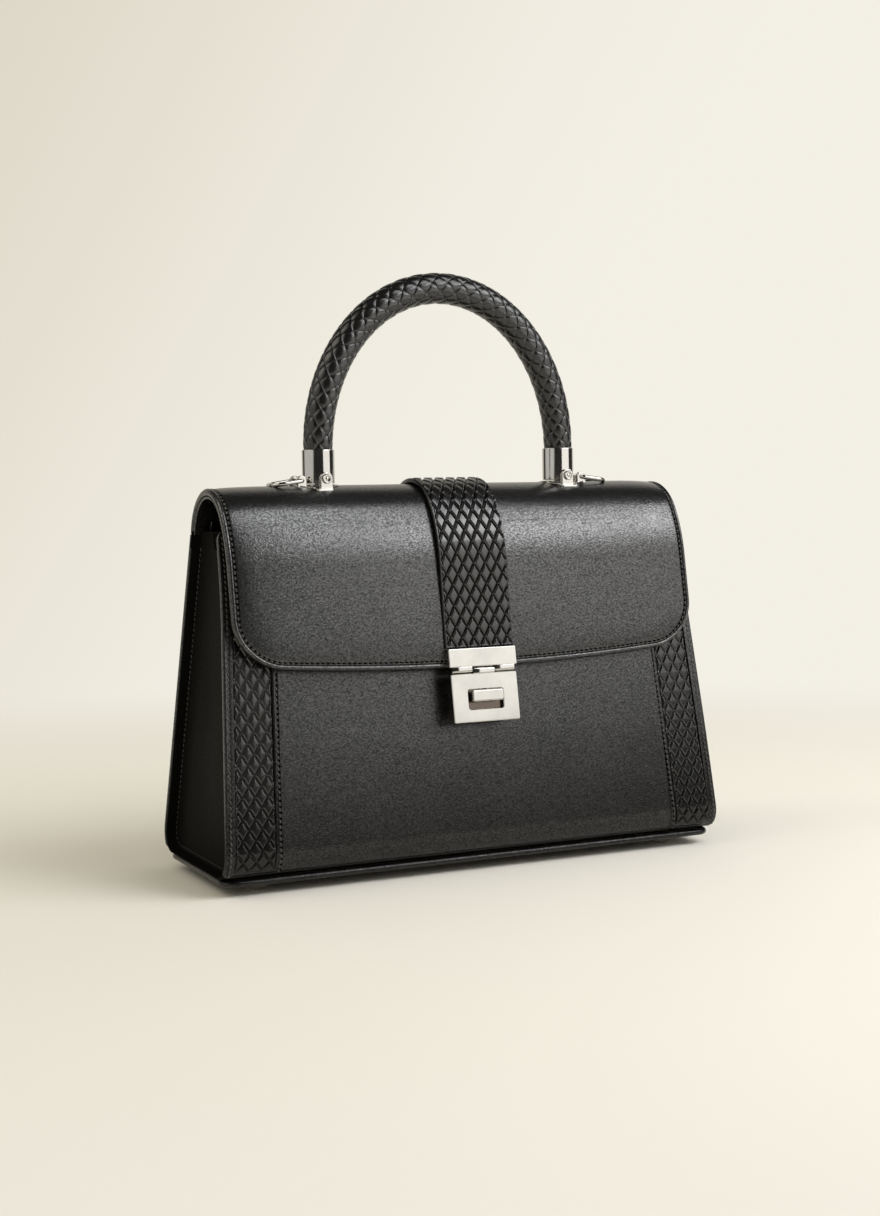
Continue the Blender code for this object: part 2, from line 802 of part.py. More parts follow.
def make_hasp_bar():
    outline = rounded_outline(-bar_half_width, bar_half_width, bar_bottom, bar_top, bar_corner_radius)
    bar = slab("hasp_bar", outline, bar_back, bar_back + bar_thickness)
    holes = [move(pin("hole", bar_screw_radius + seat_gap, bar_back - overrun,
                      bar_back + bar_screw_bite + seat_gap),
                  Matrix.Translation((side * bar_screw_across, bar_screw_height, 0))) for side in (-1, 1)]
    cut(bar, *holes)
    inner = hasp_tongue_half_width + seat_gap
    reach = bar_bottom + hinge_barrel_radius - hinge_height
    join(bar, knuckle(-hinge_half_length, -inner, reach), knuckle(inner, hinge_half_length, reach))
    polished_metal(move(cut(bar, hinge_bore()), on_face))


def make_hasp_bar_fixings():
    high = flap_stand_off - flap_thickness - seat_gap
    low = high - bar_plate_thickness
    middle = bar_screw_height
    outline = rounded_outline(-bar_plate_half_width, bar_plate_half_width,
                              middle - bar_plate_height / 2, middle + bar_plate_height / 2,
                              bar_corner_radius)
    plate = slab("hasp_bar_backplate", outline, low, high)
    holes = face_holes(bar_screw_across, middle, bar_screw_radius + seat_gap, low - overrun, high + overrun)
    plain_steel(cut(move(plate, on_face), *holes))
    head = low - seat_gap
    points = [(0, head - bar_screw_head_height), (bar_screw_head_radius, head - bar_screw_head_height),
              (bar_screw_head_radius, head), (bar_screw_radius, head),
              (bar_screw_radius, bar_back + bar_screw_bite), (0, bar_back + bar_screw_bite)]
    for side, name in ((-1, "hasp_bar_screw_left"), (1, "hasp_bar_screw_right")):
        place = on_face @ Matrix.Translation((side * bar_screw_across, middle, 0))
        plain_steel(smooth(move(turned(name, points, fine_round_steps), place)))


# Flap

# The flap's edge, drawn in by an inset: straight at the hinge, round corners and a shallow bow
def flap_outline(inset, back_inset=0.0):
    half_width = flap_half_width - inset
    corner = flap_corner_radius - inset
    bow = flap_bow_radius - inset
    bow_centre = flap_line.length - flap_bow_radius
    corner_x = half_width - corner
    corner_swing = math.sqrt((bow - corner) ** 2 - corner_x ** 2)
    corner_s = bow_centre + corner_swing
    turn = math.atan2(corner_swing, corner_x)
    outline = [(-half_width, back_inset), (half_width, back_inset)]
    outline += arc_points((corner_x, corner_s), corner, 0, turn, wide_corner_steps)
    outline += arc_points((0, bow_centre), bow, turn, math.pi - turn, bow_steps)[1:-1]
    outline += arc_points((-corner_x, corner_s), corner, math.pi - turn, math.pi, wide_corner_steps)
    return outline


# A place on the flap's walk that lies at a height above the front's fold line
def flap_walk(height):
    return flap_line.length - (height - flap_edge_height)


def flap_holes():
    bolts = [move(pin("hole", bolt_radius + seat_gap, -flap_thickness - overrun, overrun), crown_place(side))
             for side in (-1, 1)]
    return bolts + face_holes(bar_screw_across, bar_screw_height, bar_screw_radius + seat_gap,
                              flap_stand_off - flap_thickness - overrun, flap_stand_off + overrun)


def make_flap_panel():
    panel = slab("flap_panel", flap_outline(0), -flap_rim_depth, 0)
    tray = slab("tray", flap_outline(flap_rim_width, flap_rim_width), -flap_rim_depth - overrun,
                -flap_leather)
    for piece in (panel, tray):
        bend(piece, flap_line, tapered=False)
    black_leather(cut(panel, tray, *flap_holes()))


def make_flap_core():
    inset = flap_rim_width + seat_gap
    core = slab("flap_core", flap_outline(inset, inset), -flap_rim_depth, -flap_leather - seat_gap)
    stiff_board(cut(bend(core, flap_line, tapered=False), *flap_holes()))


def make_flap_lining():
    high = -flap_rim_depth - seat_gap
    lining = slab("flap_lining", flap_outline(flap_lining_inset), high - flap_lining_thickness, high)
    black_leather(cut(bend(lining, flap_line, tapered=False), *flap_holes()))


# The strap stands off the flap over the arch, and lies on it at both ends
def strap_rise(walked):
    last = flap_walk(bar_top)
    share = (walked - strap_back_margin) / (last - strap_back_margin)
    return strap_lift * max(0.0, math.sin(math.pi * min(1.0, max(0.0, share)) ** 0.8)) ** 1.5


def make_strap():
    outline = rounded_outline(-strap_half_width, strap_half_width, strap_back_margin,
                              flap_walk(bar_top + seat_gap), strap_corner_radius)
    strap = slab("strap", outline, seat_gap, seat_gap + strap_thickness)
    diamond_leather(bend(strap, flap_line, tapered=False, lift=strap_rise))


# Handle

ferrule_bottom = pad_height + seat_gap
bore_bottom = ferrule_bottom + ferrule_floor


# Up out of one ferrule, over half an ellipse and down into the other
def handle_route(foot):
    waist = arch_top + ferrule_top - seat_gap
    spring = arch_top + handle_spring_height
    turn = math.pi / handle_steps
    points = [(handle_half_span, foot), (handle_half_span, waist)]
    points += [(handle_half_span * math.cos(turn * step), spring + handle_rise * math.sin(turn * step))
               for step in range(handle_steps + 1)]
    points += [(-handle_half_span, waist), (-handle_half_span, foot)]
    return [(x, arch_centre_y, z) for x, z in points]


def make_handle():
    foot = arch_top + bore_bottom + seat_gap
    route = handle_route(foot)
    radii = [handle_end_radius] * 2
    for step in range(handle_steps + 1):
        swell = math.sin(math.pi * step / handle_steps) ** handle_swell_share
        radii.append(handle_foot_radius + (handle_top_radius - handle_foot_radius) * swell)
    radii += [handle_end_radius] * 2
    sleeve = tube("handle", route, radii, handle_side_steps)
    bore = tube("bore", handle_route(foot - overrun), [handle_core_radius + seat_gap] * len(route),
                core_side_steps)
    black_leather(smooth(cut(sleeve, bore)))
    lining_cloth(smooth(tube("handle_core", route, [handle_core_radius] * len(route), core_side_steps)))


# Turns a piece made along Z to point to the front or to the middle of the bag
to_front = Matrix.Rotation(math.pi / 2, 4, "X")


def make_ferrule(side, name):
    low, high = ferrule_bottom, ferrule_top
    bore = ferrule_radius - ferrule_wall
    points = [(0, low), (ferrule_radius - ferrule_chamfer, low), (ferrule_radius, low + ferrule_chamfer),
              (ferrule_radius, high - ferrule_chamfer), (ferrule_radius - ferrule_chamfer, high),
              (bore, high), (bore, bore_bottom), (0, bore_bottom)]
    ferrule = turned(name, points)
    bolt_hole = pin("hole", bolt_radius + seat_gap, low - overrun,
                    pad_height + bolt_bite + seat_gap)
    screw_hole = pin("hole", mount_screw_radius + seat_gap, ferrule_radius - mount_screw_bite - seat_gap,
                     ferrule_radius + overrun)
    move(screw_hole, Matrix.Translation((0, 0, lug_height)) @ to_front)
    grub_hole = pin("hole", grub_radius + seat_gap, bore - ferrule_wall, ferrule_radius + overrun)
    move(grub_hole, grub_place(side))
    cut(ferrule, bolt_hole, screw_hole, grub_hole)
    polished_metal(smooth(move(ferrule, crown_place(side))))


def crown_place(side):
    return Matrix.Translation((side * handle_half_span, arch_centre_y, arch_top))


def grub_place(side):
    return Matrix.Translation((0, 0, grub_height)) @ Matrix.Rotation(-side * math.pi / 2, 4, "Y")


def make_ferrule_grub(side, name):
    grub = pin(name, grub_radius, handle_end_radius + seat_gap, ferrule_radius + grub_proud)
    plain_steel(smooth(move(grub, crown_place(side) @ grub_place(side))))


# Ends of the saddle and of the backing plate along the flap's walk, from the crown
def crown_sheet(name, inner, outer, front, back, low, high, side):
    edges = sorted((side * (handle_half_span - inner), side * (handle_half_span + outer)))
    outline = rounded_outline(*edges, arch_crown - back, arch_crown + front, saddle_corner_radius)
    return bend(slab(name, outline, low, high), flap_line, tapered=False)


lug_front = ferrule_radius + seat_gap + lug_thickness
ear_outer_face = ear_half_space + ear_thickness


def make_handle_mount(side, name):
    mount = crown_sheet(name, saddle_inner_reach, saddle_outer_reach, saddle_front_reach,
                        saddle_back_reach, -overrun, seat_gap + saddle_thickness, side)
    place = crown_place(side)
    lug = slab("lug", lug_outline(0, lug_radius, -lug_height - overrun), lug_front - lug_thickness,
               lug_front)
    move(lug, place @ Matrix.Translation((0, 0, lug_height)) @ to_front)
    pad = move(pin("pad", pad_radius, -overrun, pad_height, round_steps), place)
    parts = [pad, lug]
    for low in (-ear_outer_face, ear_half_space):
        ear = slab("ear", lug_outline(0, ear_radius, -ear_height - overrun), low, low + ear_thickness)
        parts.append(move(ear, ring_axis(side) @ to_front))
    join(mount, *parts)
    under = slab("under", box_outline(-case_half_width, case_half_width, 0, flap_line.length),
                 -arch_radius / 2, seat_gap)
    bend(under, flap_line, tapered=False)
    bolt_hole = move(pin("hole", bolt_radius + seat_gap, -overrun - pad_height, pad_height + overrun), place)
    screw_hole = pin("hole", mount_screw_radius + seat_gap, 0, lug_front + overrun)
    move(screw_hole, place @ Matrix.Translation((0, 0, lug_height)) @ to_front)
    ring_hole = pin("hole", ring_wire_radius + seat_gap, -ring_half_width, ring_half_width)
    move(ring_hole, ring_axis(side) @ to_front)
    polished_metal(cut(mount, under, bolt_hole, screw_hole, ring_hole))


def make_mount_screw(side, name):
    head = lug_front + seat_gap
    tip = ferrule_radius - mount_screw_bite
    points = [(0, tip), (mount_screw_radius, tip), (mount_screw_radius, head),
              (mount_screw_head_radius, head), (mount_screw_head_radius, head + mount_screw_head_height / 2),
              (mount_screw_head_radius - mount_screw_head_height / 2, head + mount_screw_head_height),
              (0, head + mount_screw_head_height)]
    place = crown_place(side) @ Matrix.Translation((0, 0, lug_height)) @ to_front
    plain_steel(smooth(move(turned(name, points), place)))


def make_backing(side, plate_name, bolt_name):
    high = -flap_thickness - seat_gap
    plate = crown_sheet(plate_name, backing_half_width, backing_half_width, backing_half_length,
                        backing_half_length, high - backing_thickness, high, side)
    place = crown_place(side)
    hole = pin("hole", bolt_radius + seat_gap, high - backing_thickness - overrun, overrun)
    plain_steel(cut(plate, move(hole, place)))
    hollow_radius = arch_radius + high - backing_thickness
    hollow = hollow_radius - math.sqrt(hollow_radius ** 2 - bolt_head_radius ** 2)
    head = high - backing_thickness - hollow - seat_gap
    points = [(0, head - bolt_head_height), (bolt_head_radius, head - bolt_head_height),
              (bolt_head_radius, head), (bolt_radius, head), (bolt_radius, pad_height + bolt_bite),
              (0, pad_height + bolt_bite)]
    plain_steel(smooth(move(turned(bolt_name, points), place)))


# The strap ring turns about the ears' holes, and at rest its far end lies on the flap
ring_tilt = math.asin((ear_height - ring_wire_radius - seat_gap) / ring_reach)


def ring_axis(side):
    return crown_place(side) @ Matrix.Translation((side * ear_reach, 0, ear_height))


def make_strap_ring(side, name):
    near, far = ring_near_radius, ring_far_radius
    half = ring_half_width
    route = arc_points((near, -half + near), near, math.pi, 1.5 * math.pi, ring_corner_steps)
    route += arc_points((ring_reach - far, -half + far), far, -math.pi / 2, 0, ring_corner_steps)
    route += arc_points((ring_reach - far, half - far), far, 0, math.pi / 2, ring_corner_steps)
    route += arc_points((near, half - near), near, math.pi / 2, math.pi, ring_corner_steps)
    points = [(side * x, y, 0) for x, y in route]
    ring = tube(name, points, [ring_wire_radius] * len(points), wire_side_steps, True)
    polished_metal(smooth(move(ring, Matrix.Rotation(side * ring_tilt, 4, "Y"))))
    ring.location = ring_axis(side).translation
    return ring


# Moving groups hang from empties on their joints' axes

def joint_empty(name, place, parent=None):
    empty = bpy.data.objects.new(name, None)
    empty.empty_display_size = fold_radius
    empty.location = place
    bpy.context.scene.collection.objects.link(empty)
    if parent:
        hang(empty, parent)
    return empty


def hang(piece, parent):
    bpy.context.view_layer.update()
    piece.parent = parent
    piece.matrix_parent_inverse = parent.matrix_world.inverted()


def assemble():
    flap_hinge = joint_empty("flap_hinge", (0, hinge_y, hinge_z))
    hasp_hinge = joint_empty("hasp_hinge", on_face @ Vector((0, hinge_height, hinge_stand_off)), flap_hinge)
    toggle_axis = joint_empty("toggle_axis", on_face @ Vector((0, toggle_height, toggle_back)))
    flap_pieces = ["flap_panel", "flap_core", "flap_lining", "strap", "hasp_bar", "hasp_bar_backplate",
                   "hasp_bar_screw_left", "hasp_bar_screw_right", "hasp_pin", "handle", "handle_core"]
    for word in ("left", "right"):
        flap_pieces += [base + word for base in ("handle_ferrule_", "ferrule_grub_", "handle_mount_",
                                                 "mount_screw_", "backing_plate_", "mount_bolt_",
                                                 "strap_ring_")]
    for name in flap_pieces:
        hang(bpy.data.objects[name], flap_hinge)
    hang(bpy.data.objects["hasp_plate"], hasp_hinge)
    for name in ("lock_toggle", "toggle_retainer"):
        hang(bpy.data.objects[name], toggle_axis)


def build():
    clear_scene()
    make_front_panel()
    make_back_panel()
    make_stiff_boards()
    make_lining()
    make_inner_pocket()
    make_base()
    make_base_welt()
    make_feet()
    make_lock_base()
    make_lock_back_plate()
    make_toggle()
    make_hasp()
    make_hasp_bar()
    make_hasp_bar_fixings()
    make_flap_panel()
    make_flap_core()
    make_flap_lining()
    make_strap()
    make_handle()
    for side, word in ((-1, "left"), (1, "right")):
        make_front_inlay(side, "front_inlay_" + word)
        make_gusset(side, "gusset_" + word)
        make_ferrule(side, "handle_ferrule_" + word)
        make_ferrule_grub(side, "ferrule_grub_" + word)
        make_handle_mount(side, "handle_mount_" + word)
        make_mount_screw(side, "mount_screw_" + word)
        make_backing(side, "backing_plate_" + word, "mount_bolt_" + word)
        make_strap_ring(side, "strap_ring_" + word)
    assemble()


build()
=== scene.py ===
# %% [markdown]
# # A structured satchel with a braided handle
# The bag is a stiff leather case with sunk sides, a padded flap that folds over an arch, a strap and two
# inlays pressed with diamonds, a turn lock, and a braided handle in two metal ferrules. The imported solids
# are loaded first. They fix where every piece goes, and each cell below dresses one of them.

# %% Load the solids
import json
import math

import bpy
import numpy as np
from mathutils import Matrix, Vector

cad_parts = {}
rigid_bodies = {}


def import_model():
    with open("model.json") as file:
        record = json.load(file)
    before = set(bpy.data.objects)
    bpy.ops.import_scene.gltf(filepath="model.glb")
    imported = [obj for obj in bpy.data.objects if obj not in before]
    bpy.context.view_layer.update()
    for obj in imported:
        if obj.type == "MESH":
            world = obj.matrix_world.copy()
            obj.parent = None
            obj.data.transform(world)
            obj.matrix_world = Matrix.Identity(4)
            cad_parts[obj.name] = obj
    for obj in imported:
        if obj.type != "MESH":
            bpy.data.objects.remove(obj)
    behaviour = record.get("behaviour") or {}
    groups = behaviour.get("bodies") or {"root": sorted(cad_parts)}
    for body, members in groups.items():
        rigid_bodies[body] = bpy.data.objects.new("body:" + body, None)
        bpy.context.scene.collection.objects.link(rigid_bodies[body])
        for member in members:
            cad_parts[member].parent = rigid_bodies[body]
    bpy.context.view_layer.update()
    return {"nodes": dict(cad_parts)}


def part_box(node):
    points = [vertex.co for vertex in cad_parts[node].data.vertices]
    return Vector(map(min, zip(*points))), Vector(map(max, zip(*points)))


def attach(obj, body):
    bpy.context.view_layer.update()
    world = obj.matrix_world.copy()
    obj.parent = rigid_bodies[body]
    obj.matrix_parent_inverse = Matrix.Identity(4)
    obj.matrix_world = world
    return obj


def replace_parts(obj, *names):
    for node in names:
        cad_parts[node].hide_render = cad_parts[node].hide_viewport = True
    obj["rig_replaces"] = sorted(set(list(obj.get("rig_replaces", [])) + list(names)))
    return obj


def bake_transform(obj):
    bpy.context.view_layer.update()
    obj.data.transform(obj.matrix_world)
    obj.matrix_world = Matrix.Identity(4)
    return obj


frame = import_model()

MM = 0.001
sides = ((-1, "left"), (1, "right"))

# %% [markdown]
# ## Camera
# The photograph was taken from the left of the front, a little above the flap, with a long lens. The
# camera's place was found from corners of the bag that show in the photograph. A long side of 36 mm
# stands for the upright image, so the lens follows from the focal length in pixels.

# %% Camera
image_height = 1216
focal_pixels = 1845.14
camera_azimuth = math.radians(25.53)
camera_pitch = math.radians(4.0)
camera_roll = math.radians(-0.87)
camera_distance = 940.43 * MM
camera_height = 193.28 * MM
camera_shift = -1.11 * MM
sensor = 36

up = Vector((0, 0, 1))
ahead = Vector((math.sin(camera_azimuth), math.cos(camera_azimuth), 0))
right = Vector((math.cos(camera_azimuth), -math.sin(camera_azimuth), 0))
looking = ahead * math.cos(camera_pitch) - up * math.sin(camera_pitch)
above = up * math.cos(camera_pitch) + ahead * math.sin(camera_pitch)
camera_x = right * math.cos(camera_roll) + above * math.sin(camera_roll)
camera_y = above * math.cos(camera_roll) - right * math.sin(camera_roll)
spot = up * camera_height - ahead * camera_distance + right * camera_shift

bpy.ops.object.camera_add()
camera = bpy.context.object
camera.name = "camera"
camera.matrix_world = Matrix((camera_x, camera_y, -looking)).transposed().to_4x4()
camera.location = spot
camera.data.sensor_fit = "AUTO"
camera.data.sensor_width = sensor
camera.data.lens = focal_pixels * sensor / image_height
camera.data.clip_start = 0.05
bpy.context.scene.camera = camera
print("lens:", round(camera.data.lens, 1), "mm")

# %% [markdown]
# ## Floor and light
# A bag like this is photographed on a cream sweep, with a pale screen at its left, a lit one at its right
# and soft lamps above. The floor is a plane that keeps the bag's shadow and fades into the sweep far
# away. A camera sees the sweep on every side. Leather and metal show the sweep behind the bag, the left
# screen, and a dark room where the camera stands. That darkness draws the black bands on round metal.

# %% Node helpers
def feed(tree, node, *inputs):
    """Sets a node's sockets, each to a value or to another node's output."""
    for socket, value in inputs:
        if isinstance(value, bpy.types.NodeSocket):
            tree.links.new(value, node.inputs[socket])
        else:
            node.inputs[socket].default_value = value
    return node


def add_node(tree, kind, *inputs, **settings):
    made = tree.nodes.new("ShaderNode" + kind)
    for name, value in settings.items():
        setattr(made, name, value)
    return feed(tree, made, *inputs)


def maths(tree, operation, first, second, **settings):
    return add_node(tree, "Math", (0, first), (1, second), operation=operation, **settings).outputs[0]


def mix(tree, share, first, second, **settings):
    """One colour that passes into another."""
    return add_node(tree, "MixRGB", ("Fac", share), (1, first), (2, second), **settings).outputs[0]


def ramp(tree, source, low, high, bottom=0.0, top=1.0, kind="SMOOTHSTEP"):
    """A step between two values of the source, soft unless kind says LINEAR."""
    return add_node(tree, "MapRange", ("Value", source), ("From Min", low), ("From Max", high), ("To Min", bottom),
                    ("To Max", top), interpolation_type=kind).outputs["Result"]


def toward(tree, direction, target):
    """How far a direction points at the target."""
    return add_node(tree, "VectorMath", (0, direction), (1, target), operation="DOT_PRODUCT").outputs["Value"]


# %% World
cream = (0.896, 0.868, 0.785, 1)
cream_shade = (0.70, 0.655, 0.54, 1)
shade_edges = (-0.05, 0.5)
screen_colour = (1.0, 0.985, 0.955, 1)
left_screen = Vector((-0.97, 0.10, 0.22))
screen_edges = (0.72, 0.84)
screen_lights = (0.03, 0.72)
sweep_edges = (0.55, 0.8)
room_colour = (1.0, 0.93, 0.75, 1)
room_light = 0.5


def sweep_colour(tree, direction):
    """Cream, shaded towards the lower left as the light falls off."""
    return mix(tree, ramp(tree, toward(tree, direction, up * 0.6 - right), *shade_edges), cream, cream_shade)


def seen_rays(tree):
    """One for camera, glossy and transmission rays, which see the background."""
    rays = add_node(tree, "LightPath").outputs
    some = maths(tree, "ADD", rays["Is Camera Ray"], rays["Is Glossy Ray"])
    return maths(tree, "ADD", some, rays["Is Transmission Ray"], use_clamp=True)


scene = bpy.context.scene
scene.view_settings.view_transform = "Standard"
world = bpy.data.worlds.new("room")
scene.world = world
world.use_nodes = True
tree = world.node_tree
tree.nodes.clear()
direction = add_node(tree, "TexCoord").outputs["Generated"]
to_camera = add_node(tree, "LightPath").outputs["Is Camera Ray"]
behind = maths(tree, "MAXIMUM", ramp(tree, toward(tree, direction, ahead), *sweep_edges), to_camera)
screen = ramp(tree, toward(tree, direction, left_screen), *screen_edges, *screen_lights)
seen = add_node(tree, "Background", ("Color", mix(tree, behind, screen_colour, sweep_colour(tree, direction))),
                ("Strength", maths(tree, "MAXIMUM", behind, screen)))
room = add_node(tree, "Background", ("Color", room_colour), ("Strength", room_light))
mixed = add_node(tree, "MixShader", ("Fac", seen_rays(tree)), (1, room.outputs[0]), (2, seen.outputs[0]))
add_node(tree, "OutputWorld", ("Surface", mixed.outputs[0]))

# %% Floor
# The near colour is painted shade on the paper nearest the camera; the far colour is the paper's own
shaded_near_colour = (0.80, 0.785, 0.75, 1)
far_colour = (0.95, 0.935, 0.89, 1)
painted_shade_reach = (-0.25, 0.45)
paper_end = (0.25, 0.85)
floor_size = 12

bpy.ops.object.select_all(action="DESELECT")
bpy.ops.mesh.primitive_plane_add(size=floor_size)
floor = bpy.context.object
floor.name = "floor"
paper = bpy.data.materials.new("cream_paper")
paper.use_nodes = True
tree = paper.node_tree
coords = add_node(tree, "TexCoord").outputs["Object"]
# Painted shade: the paper is darker towards the camera and paler behind the bag
painted_shade_paper = mix(tree, ramp(tree, toward(tree, coords, ahead), *painted_shade_reach), shaded_near_colour, far_colour)
shader = feed(tree, tree.nodes["Principled BSDF"], ("Base Color", painted_shade_paper), ("Roughness", 0.9),
              ("Specular IOR Level", 0.1))
away = add_node(tree, "VectorMath", (0, coords), operation="LENGTH").outputs["Value"]
shown = maths(tree, "MULTIPLY", ramp(tree, away, *paper_end), seen_rays(tree))
sight = add_node(tree, "VectorMath", (0, coords), (1, spot), operation="SUBTRACT").outputs[0]
heading = add_node(tree, "VectorMath", (0, sight), operation="NORMALIZE").outputs[0]
glow = add_node(tree, "Emission", ("Color", sweep_colour(tree, heading)))
mixed = add_node(tree, "MixShader", ("Fac", shown), (1, shader.outputs[0]), (2, glow.outputs[0]))
feed(tree, tree.nodes["Material Output"], ("Surface", mixed.outputs[0]))
floor.data.materials.append(paper)


# %% Lamps
def soft_lamp(name, place, aim, size, power, colour):
    bpy.ops.object.light_add(type="AREA", location=place)
    lamp = bpy.context.object
    lamp.name = name
    lamp.rotation_euler = (Vector(aim) - Vector(place)).to_track_quat("-Z", "Y").to_euler()
    lamp.data.shape = "RECTANGLE"
    lamp.data.size, lamp.data.size_y = size
    lamp.data.energy = power
    lamp.data.color = colour


bag_middle = (0, 0, 0.13)
soft_lamp("key_lamp", (1.7, -0.8, 1.33), bag_middle, (0.98, 0.98), 5, (0.99, 0.985, 0.985))
soft_lamp("top_lamp", (0.3, -0.62, 1.2), bag_middle, (0.55, 0.4), 3, (0.98, 0.99, 1.0))
soft_lamp("front_lamp", (0.68, -0.79, 0.91), (0.03, -0.05, 0.12), (0.8, 0.45), 5.2, (0.98, 0.985, 1.0))
soft_lamp("right_screen", (0.31, -0.45, 0.39), (0, -0.05, 0.39), (0.56, 0.48), 1.2, (1.0, 0.985, 0.955))
soft_lamp("left_fill", (-0.85, 0.05, 0.9), (-0.6, -0.15, 0), (0.6, 0.8), 2.5, (1.0, 0.94, 0.78))

# %% [markdown]
# ## Measures and side lines
# The case is drawn from its side as lines that run through straight parts and arcs: one up the front, one
# up the back, and one for the flap, which starts at the crease behind the arch. A sheet of leather is
# cut flat and then bent along its line, as a maker works. The measures are those of the solids.

# %% Measures
case_half_width = 135 * MM
case_half_depth = 48 * MM
fold_height = 22 * MM
fold_radius = 14 * MM
panel_lean = math.atan(0.168)
mouth_side_inset = 9.4 * MM
front_straight = 104.4 * MM
mouth_curve_radius = 190 * MM
mouth_curve_length = 48 * MM
gap = 0.3 * MM
panel_thickness = 2.4 * MM
arch_top = 190 * MM
arch_front_margin = 2.95 * MM
shoulder_foot_height = 131.5 * MM
flap_stand_off = 7 * MM
flap_edge_height = 81 * MM


# %% Side lines
class SideLine:
    """A line in the side view, outside on the left of the walk; facing is -1 where it runs up the back."""

    def __init__(self, start, heading, runs, facing=1):
        self.facing = facing
        self.runs = []
        y, z = start
        self.length = 0.0
        for length, turn in runs:
            bend = turn / length
            self.runs.append((self.length, y, z, heading, bend))
            if bend:
                y += (math.sin(heading + turn) - math.sin(heading)) / bend
                z -= (math.cos(heading + turn) - math.cos(heading)) / bend
            else:
                y += length * math.cos(heading)
                z += length * math.sin(heading)
            heading += turn
            self.length += length

    def place(self, walk, out):
        walk = np.asarray(walk, float)
        y, z = np.zeros_like(walk), np.zeros_like(walk)
        for start, y0, z0, heading, bend in self.runs:
            on = walk >= start if start else np.ones_like(walk, bool)
            step = walk[on] - start
            angle = heading + bend * step
            if bend:
                y[on] = y0 + (np.sin(angle) - math.sin(heading)) / bend
                z[on] = z0 - (np.cos(angle) - math.cos(heading)) / bend
            else:
                y[on] = y0 + step * math.cos(heading)
                z[on] = z0 + step * math.sin(heading)
            lift = np.broadcast_to(out, walk.shape)[on]
            y[on] -= np.sin(angle) * lift
            z[on] += np.cos(angle) * lift
        return self.facing * y, z


fold_turn = math.pi / 2 + panel_lean
fold_length = fold_radius * fold_turn
fold_centre_y = -case_half_depth + fold_radius * math.cos(panel_lean)
fold_centre_z = fold_height - fold_radius * math.sin(panel_lean)
fold_start = (fold_centre_y, fold_centre_z - fold_radius)
arch_rise = (arch_top - fold_height) * math.sin(panel_lean)
arch_reach = 2 * (case_half_depth * math.cos(panel_lean) - arch_rise) + flap_stand_off - arch_front_margin
arch_radius = arch_reach / 2 / (1 - math.sin(panel_lean))
arch_centre_z = arch_top - arch_radius
hinge_z = arch_centre_z + arch_radius * math.sin(panel_lean)
hinge_y = case_half_depth - (hinge_z - fold_height) * math.tan(panel_lean)
arch_centre_y = hinge_y - arch_radius * math.cos(panel_lean)
back_straight = (hinge_z - fold_height) / math.cos(panel_lean)


def out_of_front(y, z):
    return -(y + case_half_depth) * math.cos(panel_lean) + (z - fold_height) * math.sin(panel_lean)


def up_the_front(y, z):
    return (y + case_half_depth) * math.sin(panel_lean) + (z - fold_height) * math.cos(panel_lean)


front_line = SideLine(fold_start, math.pi, [
    (fold_length, -fold_turn), (front_straight, 0), (mouth_curve_length, -mouth_curve_length / mouth_curve_radius)])
back_line = SideLine(fold_start, math.pi, [(fold_length, -fold_turn), (back_straight, 0)], facing=-1)
shoulder_out = flap_stand_off - out_of_front(arch_centre_y, arch_centre_z)
shoulder_drop = up_the_front(arch_centre_y, arch_centre_z) - shoulder_foot_height
shoulder_radius = (shoulder_out ** 2 + shoulder_drop ** 2 - arch_radius ** 2) / 2 / (shoulder_out - arch_radius)
shoulder_turn = math.atan2(shoulder_drop, shoulder_radius - shoulder_out)
arch_turn = math.pi - 2 * panel_lean - shoulder_turn
flap_line = SideLine((-hinge_y, hinge_z), math.pi / 2 - panel_lean, [
    (arch_radius * arch_turn, -arch_turn), (shoulder_radius * shoulder_turn, -shoulder_turn),
    (shoulder_foot_height - flap_edge_height, 0)], facing=-1)
arch_crown = arch_radius * (math.pi / 2 - panel_lean)

mouth_z = float(front_line.place([front_line.length], 0)[1][0])
side_taper = mouth_side_inset / case_half_width / (mouth_z - fold_height)
flap_half_width = case_half_width - mouth_side_inset
print("front, back and flap lines:", [round(line.length / MM, 1) for line in (front_line, back_line, flap_line)])


def width_at(z):
    return 1 - side_taper * (z - fold_height)


# Where the panels end above the welt, as in the solids
welt_radius = 1.6 * MM
welt_half_width = 133 * MM
welt_half_depth = 41.6 * MM
welt_corner = 6 * MM
gusset_bottom = fold_centre_z - (fold_radius - panel_thickness) + gap
welt_z = gusset_bottom - gap - welt_radius
welt_swing = math.hypot(welt_half_depth + fold_centre_y, fold_centre_z - welt_z)
welt_angle = math.asin((welt_half_depth + fold_centre_y) / welt_swing)
welt_room = welt_radius + gap
panel_start = fold_radius * (welt_angle + math.acos(
    (welt_swing ** 2 + fold_radius ** 2 - welt_room ** 2) / (2 * welt_swing * fold_radius)))

# %% [markdown]
# ## How a leather sheet is made
# A sheet starts as a grid, which Solidify makes into two skins with a rim between them. Its columns and
# rows are then moved in code: crowded near the edges, run round the corners, raised or sunk to make
# folds, grooves and padding, and bent along a side line. A cut by hand in edit mode could give the same
# outline, but rings that follow the edge keep a rounded rim and a stitch groove smooth.

# %% Sheet helpers
# Half the distance between a flat sheet's two skins, before its points are moved
wall_middle = 0.05


def spaced(*runs):
    """Distances in runs of (end, cells, ease); ease over 1 crowds the cells at the run's start."""
    marks = [0.0]
    for end, count, ease in runs:
        start = marks[-1]
        marks += [start + (end - start) * (step / count) ** ease for step in range(1, count + 1)]
    return np.array(marks)


def mirrored(half_marks, length, middle_cells):
    """The same marks from both ends, with even cells between them."""
    middle = np.linspace(half_marks[-1], length - half_marks[-1], middle_cells + 1)[1:-1]
    return np.concatenate([half_marks, middle, length - half_marks[::-1]])


